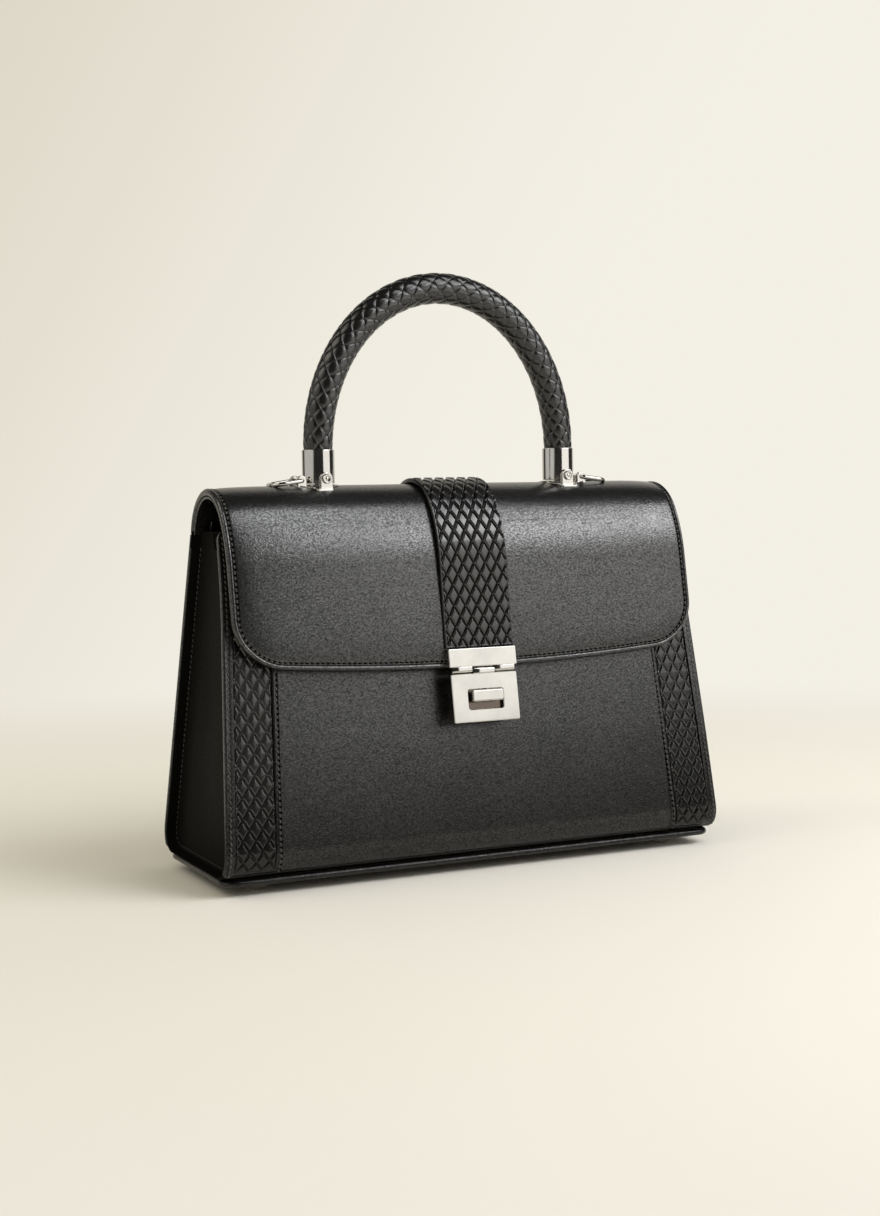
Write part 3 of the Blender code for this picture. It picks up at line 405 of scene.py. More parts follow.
def share_of(value, length):
    """How far a value has come along a length, from 0 to 1."""
    return np.clip(value / length, 0, 1)


def eased(share):
    """A share that starts and ends softly."""
    return share ** 2 * (3 - 2 * share)


def named(name):
    """Names the piece that was just added."""
    piece = bpy.context.object
    piece.name = piece.data.name = name
    return piece


def read_points(piece):
    spots = np.empty(len(piece.data.vertices) * 3)
    piece.data.vertices.foreach_get("co", spots)
    return spots.reshape(-1, 3)


def write_points(piece, x, y, z):
    piece.data.vertices.foreach_set("co", np.stack([x, y, z], 1).ravel())
    piece.data.update()


def flat_sheet(name, columns, rows):
    bpy.ops.object.select_all(action="DESELECT")
    bpy.ops.mesh.primitive_grid_add(x_subdivisions=columns, y_subdivisions=rows, size=2)
    return named(name)


def two_skins(sheet):
    """Gives the sheet an inner skin, and returns its points with True for those of the outer one."""
    wall = sheet.modifiers.new("wall", "SOLIDIFY")
    wall.thickness = 2 * wall_middle
    wall.offset = -1
    bpy.context.view_layer.objects.active = sheet
    bpy.ops.object.modifier_apply(modifier=wall.name)
    spots = read_points(sheet)
    return spots[:, 0], spots[:, 1], spots[:, 2] > -wall_middle


def rounded_sheet(name, across, along, rings=0, low=True, high=True):
    """A sheet with its columns and rows at the given marks. Its outer rings run round the corners."""
    sheet = flat_sheet(name, len(across) - 1, len(along) - 1)
    x, y, outside = two_skins(sheet)
    column = np.rint((x + 1) / 2 * (len(across) - 1)).astype(int)
    row = np.rint((y + 1) / 2 * (len(along) - 1)).astype(int)
    from_side = np.minimum(column, len(across) - 1 - column)
    from_end = np.minimum(row, len(along) - 1 - row)
    low_half = row * 2 < len(along) - 1
    a = across[from_side]
    b = np.where(low_half, along[row] - along[0], along[-1] - along[row])
    edge = np.minimum(a, b)
    if rings:
        radius = across[rings]
        turned = (from_side < rings) & (from_end < rings) & np.where(low_half, low, high)
        ring = np.minimum(from_side, from_end)
        left = np.maximum(rings - ring, 1)
        swing = np.where(from_end == ring, 1 + (from_side - ring) / left, 1 - (from_end - ring) / left)
        swing = swing * math.pi / 4
        reach = radius - across[ring]
        a = np.where(turned, radius - reach * np.cos(swing), a)
        b = np.where(turned, radius - reach * np.sin(swing), b)
        edge = np.where(turned, across[ring], edge)
    half = across[-1] / 2
    flat_x = np.where(column * 2 < len(across) - 1, a - half, half - a)
    flat_s = np.where(low_half, along[0] + b, along[-1] - b)
    return sheet, flat_x, flat_s, edge, outside


def rolled(edge, radius):
    """How far a rounded edge drops below the sheet's face."""
    return -(radius - np.sqrt(np.maximum(radius ** 2 - np.maximum(radius - edge, 0) ** 2, 0)))


def bump_line(distance, width):
    return np.exp(-(distance / width) ** 2)


def bend(sheet, line, x, walk, out, tapered=True):
    y, z = line.place(walk, out)
    write_points(sheet, x * width_at(z) if tapered else x, y, z)
    return finish_mesh(sheet)


def finish_mesh(piece, angle=60):
    """Points all faces outwards and smooths them, except at sharp edges."""
    bpy.ops.object.select_all(action="DESELECT")
    piece.select_set(True)
    bpy.context.view_layer.objects.active = piece
    bpy.ops.object.mode_set(mode="EDIT")
    bpy.ops.mesh.select_all(action="SELECT")
    bpy.ops.mesh.normals_make_consistent(inside=False)
    bpy.ops.object.mode_set(mode="OBJECT")
    bpy.ops.object.shade_smooth_by_angle(angle=math.radians(angle))
    return piece


def joined(name, pieces):
    bpy.ops.object.select_all(action="DESELECT")
    for piece in pieces:
        piece.select_set(True)
    bpy.context.view_layer.objects.active = pieces[0]
    bpy.ops.object.join()
    return named(name)


def dress(piece, material, body, *nodes, slot=None):
    """Gives a piece its material, its body and the solids that it stands for."""
    piece.data.materials.clear()
    piece.data.materials.append(material)
    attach(piece, body)
    if nodes:
        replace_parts(piece, *nodes)
    print(piece.name, len(piece.data.polygons), "faces on", body)
    return piece


# %% [markdown]
# ## Materials
# The leather is black calf with a fine printed grain: small rounded cells, with faint streaks that cross
# it and catch the light. The grain is a bump from a cell pattern and a noise, both in millimetres on the
# piece. The metal is polished and a little warm, with fine scratches in its gloss.

# %% Leather
# Heights over which the painted shade low down fades out, and the share of gloss left at the bottom
painted_shade_heights = (3 * MM, 60 * MM)
painted_shade_share = 0.4
grain_turn = (0.2, math.radians(-38), 0.1)
grain_scale = (1150, 1150, 1700)
grain_depth = 0.06 * MM


def new_finish(name):
    """A material, its tree, its shader and the place on the piece."""
    made = bpy.data.materials.new(name)
    made.use_nodes = True
    tree = made.node_tree
    return made, tree, tree.nodes["Principled BSDF"], add_node(tree, "TexCoord").outputs["Object"]


def two_tones(tree, source, colour, dark, pale, low=0.0, high=1.0):
    """A colour made darker and paler as the source says."""
    tone = add_node(tree, "ValToRGB", ("Fac", source))
    for element, share, position in zip(tone.color_ramp.elements, (dark, pale), (low, high)):
        element.position = position
        element.color = (*[min(1, v * share) for v in colour], 1)
    return tone.outputs[0]


def leather(name, colour, roughness, grain=1.0, specular=0.5):
    made, tree, shader, coords = new_finish(name)
    mapping = add_node(tree, "Mapping", ("Vector", coords), ("Rotation", grain_turn), ("Scale", grain_scale))
    slanted = mapping.outputs[0]
    cells = add_node(tree, "TexVoronoi", ("Vector", slanted), ("Scale", 1), ("Smoothness", 0.6), feature="SMOOTH_F1")
    creases = add_node(tree, "TexNoise", ("Vector", slanted), ("Scale", 0.8), ("Detail", 2)).outputs["Fac"]
    streaks = add_node(tree, "TexNoise", ("Vector", coords), ("Scale", 25), ("Detail", 1)).outputs["Fac"]
    height = mix(tree, 0.45, cells.outputs["Distance"], creases, blend_type="ADD")
    bump = add_node(tree, "Bump", ("Strength", 0.9 * grain), ("Distance", grain_depth), ("Height", height))
    # Painted shade: less gloss low down, which darkens the bag's lower part and keeps the floor from shining in it
    upward = add_node(tree, "SeparateXYZ", ("Vector", coords)).outputs["Z"]
    shine = ramp(tree, creases, 0.35, 0.65, specular * (1 - 0.5 * grain), specular * (1 + 0.5 * grain), "LINEAR")
    shade_dimmed_gloss = maths(tree, "MULTIPLY", shine, ramp(tree, upward, *painted_shade_heights, painted_shade_share, 1))
    gloss = ramp(tree, streaks, 0.3, 0.7, roughness - 0.02, roughness + 0.02, "LINEAR")
    feed(tree, shader, ("Base Color", two_tones(tree, creases, colour, 0.7, 1.5)), ("Roughness", gloss),
         ("Specular IOR Level", shade_dimmed_gloss), ("Normal", bump.outputs[0]))
    return made


black_leather = leather("black_calf", (0.0055, 0.0055, 0.0058), 0.27, 1.0, 0.88)
# Painted shade: the sides get a darker copy of the calf with almost no gloss, because they stand in shade
shaded_side_leather = leather("shaded_side_calf", (0.004, 0.004, 0.0035), 0.55, 0.6, 0.03)
pressed_leather = leather("pressed_calf", (0.003, 0.003, 0.0032), 0.22, 0.15, 0.9)
braid_leather = leather("braid_calf", (0.0045, 0.0043, 0.0042), 0.25, 0.3, 0.7)


# %% Plain finishes
def plain_finish(name, colour, roughness, metallic=0.0, scale=900, bump_depth=0.02, spread=0.06):
    made, tree, shader, coords = new_finish(name)
    grain = add_node(tree, "TexNoise", ("Vector", coords), ("Scale", scale), ("Detail", 4)).outputs["Fac"]
    gloss = ramp(tree, grain, 0.3, 0.7, roughness - spread, roughness + spread, "LINEAR")
    bump = add_node(tree, "Bump", ("Strength", 0.4), ("Distance", bump_depth * MM), ("Height", grain))
    feed(tree, shader, ("Base Color", two_tones(tree, grain, colour, 0.88, 1.1, 0.3, 0.7)), ("Metallic", metallic),
         ("Roughness", gloss), ("Normal", bump.outputs[0]))
    return made


polished_metal = plain_finish("polished_metal", (0.57, 0.555, 0.52), 0.11, 1.0, 60, 0.0, 0.015)
# Dark metal: painted shade on the lock's case, which shows only in the recess behind the window plate; the grub
# screws are plainly dark
dark_metal_and_painted_shade = plain_finish("dark_metal_and_painted_shade", (0.16, 0.13, 0.11), 0.22, 1.0, 300, 0.004, 0.04)
plain_steel = plain_finish("plain_steel", (0.5, 0.5, 0.51), 0.34, 1.0, 700, 0.01)
suede = plain_finish("suede_cloth", (0.15, 0.12, 0.10), 0.86, 0.0, 1500, 0.12, 0.05)
fibre_board = plain_finish("fibre_board", (0.28, 0.22, 0.16), 0.8, 0.0, 500, 0.1)
cord_core = plain_finish("cord_core", (0.02, 0.019, 0.018), 0.8, 0.0, 1200, 0.1)
thread = plain_finish("waxed_thread", (0.05, 0.049, 0.048), 0.36, 0.0, 2500, 0.03)
# Painted shade: a matte black for the shade inside the needle holes
painted_hole_shade = plain_finish("painted_hole_shade", (0.001, 0.001, 0.001), 0.9)
painted_hole_shade.node_tree.nodes["Principled BSDF"].inputs["Specular IOR Level"].default_value = 0

# %% [markdown]
# ## Front panel
# The front is one stiff panel. Near each side a strip is sunk for a diamond inlay, and the middle part
# has a folded edge with a seam beside it. The sinking, the fold and the seam's groove are rows of the
# same sheet, moved in or out. Below the lock the panel is drawn in a little towards the base.

# %% Front panel
inlay_outer = case_half_width - 5 * MM
inlay_inner = inlay_outer - 20 * MM
panel_corner = 5 * MM
corner_rings = 10
edge_seam = 2.5 * MM
fold_seam = 1.9 * MM
inlay_depth = 1.5 * MM
drawn_length = 46 * MM


def panel_marks(length, cells):
    return mirrored(spaced((panel_corner, corner_rings, 1.5)), length, cells)


def make_front_panel():
    side = spaced((panel_corner, corner_rings, 1.5), (5.35 * MM, 2, 1), (24.65 * MM, 10, 1), (25 * MM, 2, 1),
                  (30 * MM, 12, 1.3))
    across = mirrored(side, 2 * case_half_width, 90)
    along = panel_start + panel_marks(front_line.length - panel_start, 110)
    sheet, x, walk, edge, outside = rounded_sheet("front_panel_skin", across, along, corner_rings)
    inner = np.abs(x) - inlay_inner
    inside_strip = np.minimum(inner, inlay_outer - np.abs(x)) / (0.35 * MM)
    strip_ends = np.minimum(walk - panel_start - panel_corner, front_line.length - 12 * MM - walk) / (0.5 * MM)
    sunk = np.clip(np.minimum(inside_strip, strip_ends), 0, 1)
    fold = np.clip(-inner, 0, None)
    out = rolled(edge, 0.9 * MM) + rolled(fold + np.where(inner > 0, 9, 0), 0.9 * MM) * (strip_ends > 0)
    out -= inlay_depth * sunk
    out -= 0.3 * MM * bump_line(fold - fold_seam, 0.45 * MM) * (inner < 0)
    out -= 0.25 * MM * bump_line(edge - edge_seam, 0.4 * MM)
    drawn_in = 1.1 * MM * share_of(fold_length + drawn_length - walk, drawn_length) ** 1.35
    out = np.where(outside, out - drawn_in, -panel_thickness - rolled(edge, 0.6 * MM))
    return bend(sheet, front_line, x, walk, out)


dress(make_front_panel(), black_leather, "case", "front_panel")

# %% [markdown]
# ## Diamond leather
# A hot plate presses soft leather into raised pads with narrow grooves between them. The grooves run
# both ways, so the grid's faces are poked: each square becomes four triangles, and grooves in either
# direction follow edges of the mesh.

# %% Diamond sheets
groove_floor = 0.05 * MM
groove_bevel = 0.85 * MM
groove_half_depth = 0.55 * MM
pad_reach = 2.4 * MM
pad_crown = 0.1 * MM


def diamond_height(x, walk, width, height):
    """Height of the pads at a place; the grooves lie where either diagonal count is whole."""
    rising, falling = x / width + walk / height, x / width - walk / height
    near = np.minimum(np.abs(rising - np.rint(rising)), np.abs(falling - np.rint(falling)))
    apart = near * width * height / math.hypot(width, height)
    bevel = share_of(apart - groove_floor, groove_bevel)
    return -groove_half_depth * (1 + np.cos(math.pi * bevel)) + pad_crown * share_of(apart, pad_reach)


def diamond_sheet(name, line, low, high, half_width, count, diamond_length, face, back, cells=10, border=0.9 * MM,
                  middle=0.0, tapered=True, lift=None):
    width = 2 * half_width / count
    rows = max(4, round((high - low) / diamond_length * cells))
    sheet = flat_sheet(name, count * cells, rows)
    bpy.ops.object.mode_set(mode="EDIT")
    bpy.ops.mesh.select_all(action="SELECT")
    bpy.ops.mesh.poke()
    bpy.ops.object.mode_set(mode="OBJECT")
    x, y, outside = two_skins(sheet)
    x = x * half_width
    step = diamond_length / cells
    walk = high - (1 - (y + 1) / 2) * rows * step
    walk = np.maximum(walk, low)
    edge = np.minimum(half_width - np.abs(x), np.minimum(walk - low, high - walk))
    inside = share_of(edge - border, 0.5 * MM)
    seam = bump_line(edge - border, 0.35 * MM)
    relief = diamond_height(x + half_width, high - walk, width, diamond_length)
    out = face + np.where(inside > 0, relief * inside, -0.05 * MM) - 0.35 * MM * seam
    out += rolled(edge, 0.5 * MM)
    out = np.where(outside, out, back)
    if lift:
        out = out + lift(walk)
    return bend(sheet, line, x + middle, walk, out, tapered)


def make_inlay(side, name):
    low = panel_start + 5.3 * MM
    high = front_line.length - 12.3 * MM
    middle = side * (inlay_inner + inlay_outer) / 2
    return diamond_sheet(name, front_line, low, high, half_width=9.7 * MM, count=3, diamond_length=10 * MM,
                         face=-0.25 * MM, back=-1.2 * MM, cells=14, border=0.3 * MM, middle=middle)


for side, word in sides:
    dress(make_inlay(side, "inlay_diamonds_" + word), pressed_leather, "case", "front_inlay_" + word)

# %% [markdown]
# ## Back panel, sides, base and welt
# The back is plain, with a seam round it. Each side is a panel sunk between the front and the back, like
# a tray, and its leather dips a little where a hand presses it. The base closes the case, and a round
# welt runs along its edge.

# %% Back panel
def make_back_panel():
    across = panel_marks(2 * case_half_width, 90)
    along = panel_start + panel_marks(back_line.length - gap - panel_start, 90)
    sheet, x, walk, edge, outside = rounded_sheet("back_panel_skin", across, along, corner_rings, high=False)
    out = rolled(edge, 0.9 * MM) - 0.25 * MM * bump_line(edge - edge_seam, 0.4 * MM)
    out = np.where(outside, out, -panel_thickness - rolled(edge, 0.6 * MM))
    return bend(sheet, back_line, x, walk, out)


dress(make_back_panel(), black_leather, "case", "back_panel")

# %% Sides
gusset_outer = case_half_width - 0.4 * MM
gusset_recess = 5 * MM
gusset_inner = gusset_outer - gusset_recess - 1.6 * MM
gusset_corner = fold_radius - panel_thickness - gap
gusset_flat_half = 40 * MM
gusset_rim = 1.3 * MM
gusset_wall = 0.6 * MM
gusset_foot = 1.9 * MM
leather_sag = 0.9 * MM


def depth_limits(z):
    """Front and back of the case's inside at a height, at the depth of the sides' rims."""
    depth = panel_thickness + gap
    walks = np.linspace(fold_length, front_line.length, 60)
    front_y, front_z = front_line.place(walks, -depth)
    lean = math.tan(panel_lean)
    base_y = case_half_depth - depth / math.cos(panel_lean)
    front = np.where(z > front_z[0], np.interp(z, front_z, front_y), front_y[0] - (front_z[0] - z) * lean)
    return front, base_y - (z - fold_height) * lean


def make_gusset(side, name):
    marks = spaced((gusset_rim, 5, 1.3), (gusset_foot, 4, 1), (gusset_corner, 9, 1.2))
    rings = len(marks) - 1
    top = float(front_line.place([front_line.length - 1.5 * MM], 0)[1][0])
    across = mirrored(marks, 2 * gusset_flat_half, 26)
    along = gusset_bottom + mirrored(marks, top - gusset_bottom, 60)
    sheet, flat_y, z, edge, outside = rounded_sheet(name, across, along, rings, high=False)
    side_edge = gusset_flat_half - np.abs(flat_y)
    front, back = depth_limits(z)
    middle, half = (front + back) / 2, (back - front) / 2
    in_corner = np.abs(flat_y) - gusset_flat_half + gusset_corner
    inner_half = half - gusset_corner
    reach = np.where(in_corner > 0, inner_half + in_corner,
                     np.abs(flat_y) / (gusset_flat_half - gusset_corner) * inner_half)
    y = middle + np.sign(flat_y) * reach
    rim = np.where(z > top - 8 * MM, np.minimum(side_edge, 1), edge)
    wall = share_of(rim - gusset_rim, gusset_wall)
    soft = share_of(rim - gusset_foot, 9 * MM)
    x = gusset_outer - gusset_recess * wall + leather_sag * (1 - soft) ** 2 * (wall > 0)
    x = x + rolled(rim, gusset_wall) * (wall < 0.5)
    low_share = (z - gusset_bottom) / (top - gusset_bottom)
    dent = bump_line(y - 4 * MM, 16 * MM) * bump_line(low_share - 0.45, 0.32)
    x = np.where(outside, x - leather_sag * dent * soft, gusset_inner)
    write_points(sheet, side * x * width_at(z), y, z)
    return finish_mesh(sheet)


for side, word in sides:
    dress(make_gusset(side, "side_panel_" + word), shaded_side_leather, "case", "gusset_" + word)


# %% Base and welt
# Radius of the tube of a torus of radius 1, before it is reshaped
tube = 0.25


def round_corners(corners, z=0.0, steps=10):
    """A flat route through quarter arcs, each given by its centre, its radius and its first angle."""
    spots = []
    for cx, cy, radius, first in corners:
        for step in range(steps + 1):
            angle = math.radians(first + 90 * step / steps)
            spots.append((cx + radius * math.cos(angle), cy + radius * math.sin(angle), z))
    return np.array(spots)


def loop_route(half_x, half_y, radius, z, steps=10):
    x, y = half_x - radius, half_y - radius
    return round_corners(((x, -y, radius, -90), (x, y, radius, 0), (-x, y, radius, 90), (-x, -y, radius, 180)),
                         z, steps)


def unit_torus(name, stations, parts):
    """A torus to be reshaped. For each point: its station round the ring, and its place in the section."""
    bpy.ops.object.select_all(action="DESELECT")
    bpy.ops.mesh.primitive_torus_add(major_segments=stations, minor_segments=parts, major_radius=1,
                                     minor_radius=tube)
    ring = named(name)
    spots = read_points(ring)
    turn = np.arctan2(spots[:, 1], spots[:, 0]) / (2 * math.pi)
    return ring, np.rint(turn * stations).astype(int) % stations, np.hypot(spots[:, 0], spots[:, 1]) - 1, spots[:, 2]


def wire_loop(name, route, radius, facets=16):
    """A closed round wire: a torus whose rings are moved onto the points of a flat route."""
    ring, station, outward, upward = unit_torus(name, len(route), facets)
    ahead = np.roll(route, -1, 0) - np.roll(route, 1, 0)
    ahead /= np.linalg.norm(ahead, axis=1)[:, None]
    side = np.stack([ahead[:, 1], -ahead[:, 0], np.zeros(len(route))], 1)
    at = route[station] + side[station] * (outward / tube * radius)[:, None]
    at[:, 2] += upward / tube * radius
    write_points(ring, *at.T)
    return finish_mesh(ring)


def even_route(route, step):
    closed = np.vstack([route, route[:1]])
    walked = np.concatenate([[0], np.cumsum(np.linalg.norm(np.diff(closed, axis=0), axis=1))])
    marks = np.linspace(0, walked[-1], round(walked[-1] / step), endpoint=False)
    return np.stack([np.interp(marks, walked, closed[:, axis]) for axis in range(3)], 1)


welt_route = even_route(loop_route(welt_half_width, welt_half_depth, welt_corner, welt_z), 2.5 * MM)
dress(wire_loop("base_piping", welt_route, welt_radius), black_leather, "case", "base_welt")


def make_base_panel():
    low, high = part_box("base_panel")
    marks = spaced((welt_corner - welt_room, 5, 1.2))
    across = mirrored(marks, high.x - low.x, 50)
    along = low.y + mirrored(marks, high.y - low.y, 18)
    sheet, x, y, edge, outside = rounded_sheet("base_leather", across, along, 5)
    z = np.where(outside, high.z + rolled(edge, 0.5 * MM), low.z - rolled(edge, 0.7 * MM))
    write_points(sheet, x, y, z)
    return finish_mesh(sheet)


dress(make_base_panel(), black_leather, "case", "base_panel")

# %% [markdown]
# ## Flap
# The flap is thin leather over a soft filler on a stiff core, so it is slightly crowned. A band about 3 mm
# wide runs round its edge, where the leather is turned over, with a seam just inside it. The outer rings
# of the sheet follow the round corners, and its lower edge bows down in the middle.

# %% Flap
flap_corner = 24 * MM
flap_tip = 4.2 * MM
flap_hang = 2 * MM
flap_rings = 30
rim_width = 3.2 * MM
rim_depth = 3 * MM
flap_leather = 1.6 * MM
flap_seam = 2.9 * MM


def bowed(x, walk, length, tip):
    """Slides the lower edge's rows so that it bows down in the middle."""
    share = share_of(walk, length) ** 3
    middle = 1 - (x / (flap_half_width - flap_corner)) ** 2
    return walk + share * tip * (0.55 - (1 - np.clip(middle, -0.6, 1)))


flap_flat_length = flap_line.length + flap_hang - flap_tip * 0.55


def flap_marks(inset):
    return spaced((3.9 * MM - inset, 15, 1.15), (flap_corner - inset, flap_rings - 15, 1.3))


def flap_sheet(name, inset, rows):
    marks = flap_marks(inset)
    across = mirrored(marks, 2 * (flap_half_width - inset), 84)
    along = mirrored(marks, flap_flat_length - inset, rows)
    sheet, x, walk, edge, outside = rounded_sheet(name, across, along, flap_rings, low=False)
    walk = bowed(x, walk, along[-1], flap_tip)
    side_edge = flap_half_width - inset - np.abs(x)
    edge = np.where(walk < flap_line.length / 2, np.minimum(side_edge, flap_corner), edge)
    return sheet, x, walk, edge, outside


def flap_padding(x, walk, edge):
    """The filler's crown, with the slight waves of real leather."""
    crown = 1.1 * MM * (1 - np.exp(-np.clip(edge - flap_seam, 0, None) / (8 * MM)))
    waves = np.sin(x / (23 * MM) + walk / (31 * MM)) * np.sin(walk / (17 * MM) - x / (41 * MM))
    return crown + 0.12 * MM * waves * share_of(edge - 8 * MM, 10 * MM)


def make_flap_skin():
    sheet, x, walk, edge, outside = flap_sheet("flap_skin", 0, 120)
    groove = 0.4 * MM * bump_line(edge - 1.3 * MM, 0.9 * MM) - 0.8 * MM * bump_line(edge - flap_seam, 0.5 * MM)
    # Flat and a little rounded at the fold, so that it doesn't press into the back when it opens
    free = share_of(walk, 10 * MM)
    out = rolled(edge, 1.2 * MM) + (groove + flap_padding(x, walk, edge)) * free + rolled(walk, 0.6 * MM)
    depth = np.where(edge < rim_width, -rim_depth - rolled(edge, 0.8 * MM), -flap_leather)
    return bend(sheet, flap_line, x, walk, np.where(outside, out, depth), tapered=False)


def make_flap_lining():
    sheet, x, walk, edge, outside = flap_sheet("flap_underside", 0.5 * MM, 60)
    face = -rim_depth - gap
    out = np.where(outside, face + rolled(edge, 0.4 * MM), face - 1.3 * MM - rolled(edge, 0.6 * MM))
    return bend(sheet, flap_line, x, walk, out, tapered=False)


dress(make_flap_skin(), black_leather, "flap", "flap_panel")
dress(make_flap_lining(), black_leather, "flap", "flap_lining")

# %% [markdown]
# ## Seams
# Black waxed thread runs just inside the edges. One stitch is modelled as a short bead with its ends
# pushed down, and copied along each seam at an even step. A flat black bead between two stitches is
# painted shade: it stands for the shade in the hole that the needle makes.

# %% Seams
stitch_step = 2.7 * MM


def one_bead(length, width, height, dive):
    bpy.ops.object.select_all(action="DESELECT")
    bpy.ops.mesh.primitive_uv_sphere_add(segments=8, ring_count=6, radius=1, rotation=(0, math.pi / 2, 0))
    bead = bpy.context.object
    bpy.ops.object.transform_apply(rotation=True)
    spots = read_points(bead)
    spots[:, 2] = spots[:, 2] * height - dive * spots[:, 0] ** 2
    spots[:, :2] *= (length / 2, width)
    faces = [tuple(face.vertices) for face in bead.data.polygons]
    bpy.data.objects.remove(bead)
    return spots, faces


stitch = one_bead(length=2.3 * MM, width=0.42 * MM, height=0.42 * MM, dive=0.45 * MM)
# A flat black bead that paints the shade of a needle hole
hole = one_bead(length=1.3 * MM, width=0.55 * MM, height=0.12 * MM, dive=0)


def seam(name, place, x, walk, out, body, slot, shape=stitch, material=thread, shift=0.5, beside=0.0):
    """Beads along a path in flat measures; place turns flat measures into places on the bag."""
    x, walk = np.asarray(x, float), np.asarray(walk, float)
    out = np.broadcast_to(np.asarray(out, float), x.shape)
    line = np.stack(place(x, walk, out), 1)
    lifted = np.stack(place(x, walk, out + 0.1 * MM), 1)
    walked = np.concatenate([[0], np.cumsum(np.linalg.norm(np.diff(line, axis=0), axis=1))])
    count = max(2, round(walked[-1] / stitch_step))
    marks = (np.arange(count) + shift) * walked[-1] / count

    def pick(values, at):
        return np.stack([np.interp(at, walked, values[:, axis]) for axis in range(3)], 1)

    middle = pick(line, marks)
    ahead = pick(line, marks + 0.3 * stitch_step) - pick(line, marks - 0.3 * stitch_step)
    ahead /= np.linalg.norm(ahead, axis=1)[:, None]
    normal = pick(lifted, marks) - middle
    aside = np.cross(normal, ahead)
    aside /= np.linalg.norm(aside, axis=1)[:, None]
    normal = np.cross(ahead, aside)
    ahead = ahead + 0.22 * aside
    bead, bead_faces = shape
    spots = (middle[:, None] + beside * aside[:, None] + bead[None, :, :1] * ahead[:, None]
             + bead[None, :, 1:2] * aside[:, None] + bead[None, :, 2:] * normal[:, None])
    faces = [tuple(v + number * len(bead) for v in face) for number in range(count) for face in bead_faces]
    mesh = bpy.data.meshes.new(name)
    mesh.from_pydata(spots.reshape(-1, 3).tolist(), [], faces)
    mesh.shade_smooth()
    piece = bpy.data.objects.new(name, mesh)
    bpy.context.scene.collection.objects.link(piece)
    return dress(piece, material, body, slot=slot)


def on_line(line, tapered=True):
    def place(x, walk, out):
        y, z = line.place(walk, out)
        return (x * width_at(z) if tapered else x), y, z
    return place


def u_path(half_width, start, end, radius, steps=40):
    """Down one side, round both lower corners and up the other side, in flat measures."""
    turn = np.linspace(0, math.pi / 2, steps)
    side = np.linspace(start, end - radius, 160)
    bottom = np.linspace(half_width - radius, -half_width + radius, 160)
    x = np.concatenate([np.full(160, half_width), half_width - radius + radius * np.cos(turn), bottom])
    walk = np.concatenate([side, end - radius + radius * np.sin(turn), np.full(160, end)])
    return np.concatenate([x, -x[:200][::-1]]), np.concatenate([walk, walk[:200][::-1]])


x, walk = u_path(flap_half_width - flap_seam, 3 * MM, flap_flat_length - flap_seam, flap_corner - flap_seam)
walk = bowed(x, walk, flap_flat_length, flap_tip)
seam("flap_seam", on_line(flap_line, False), x, walk, 0.0, "flap", "flap_panel")
seam("flap_hole_shade_beads", on_line(flap_line, False), x, walk, 0.05 * MM, "flap", "flap_panel", shape=hole,
     material=painted_hole_shade, shift=0.05, beside=-0.6 * MM)


def straight_seam(name, line, x, slot, out=0.0, **looks):
    """A seam on the case that runs up beside an edge."""
    walk = np.linspace(panel_start + 3 * MM, line.length - 3 * MM, 200)
    seam(name, on_line(line), np.full(200, x), walk, out, "case", slot, **looks)


for side, word in sides:
    fold_x, edge_x = side * (inlay_inner - fold_seam), side * (case_half_width - edge_seam)
    straight_seam("front_fold_seam_" + word, front_line, fold_x, "front_panel", -0.05 * MM)
    straight_seam("front_hole_shade_beads_" + word, front_line, fold_x, "front_panel", -0.05 * MM, shape=hole,
                  material=painted_hole_shade, shift=0.05, beside=side * 0.5 * MM)
    straight_seam("front_edge_seam_" + word, front_line, edge_x, "front_panel")
    straight_seam("back_edge_seam_" + word, back_line, edge_x, "back_panel")

# %% Side seams
side_seam = 3.4 * MM


def on_side(side):
    """A place on a side's sunk face, from its depth in the bag and its height."""
    def place(y, z, out):
        return side * (gusset_outer - gusset_recess + 0.62 * MM + out) * width_at(z), y, z
    return place


def side_path(steps=30):
    """Down the back wall, round both lower corners and up the front wall."""
    z = np.linspace(mouth_z - 9 * MM, gusset_bottom + gusset_corner, 160)
    front, back = depth_limits(z)
    radius = gusset_corner - side_seam
    turn = np.linspace(0, math.pi / 2, steps)
    back_y = back[-1] - gusset_corner + radius * np.cos(turn)
    front_y = front[-1] + gusset_corner - radius * np.cos(turn)
    low_z = gusset_bottom + gusset_corner - radius * np.sin(turn)
    y = np.concatenate([back - side_seam, back_y, front_y[::-1], (front + side_seam)[::-1]])
    return y, np.concatenate([z, low_z, low_z[::-1], z[::-1]])


for side, word in sides:
    y, z = side_path()
    seam("side_seam_" + word, on_side(side), y, z, 0.0, "case", "gusset_" + word, material=braid_leather)

# %% [markdown]
# ## Strap
# The strap is diamond leather folded over a narrow core. It stands a little off the arch and ends under
# the lock's bar.

# %% Strap
strap_half_width = 18.5 * MM
strap_start = 7 * MM
bar_bottom = 78.9 * MM
bar_top = 88.1 * MM


def flap_walk(height):
    return flap_line.length - (height - flap_edge_height)


def strap_rise(walk):
    share = share_of(walk - strap_start, flap_walk(bar_top) - strap_start)
    return 2.2 * MM * np.maximum(0, np.sin(math.pi * share ** 0.8)) ** 1.5


strap = diamond_sheet("strap_diamonds", flap_line, strap_start, flap_walk(bar_top + gap), strap_half_width, count=6,
                      diamond_length=10.4 * MM, face=2.4 * MM, back=0.3 * MM, cells=14, border=0.8 * MM,
                      tapered=False, lift=strap_rise)
dress(strap, pressed_leather, "flap", "strap")

# %% [markdown]
# ## Handle
# Ten flat strands, five turning each way, cross over and under each other round a cord. A strand lies
# on top at every second crossing, and its pads make the scale pattern. Each strand is a grid strip as
# wide as the room between its neighbours, wound on the handle's route in code.

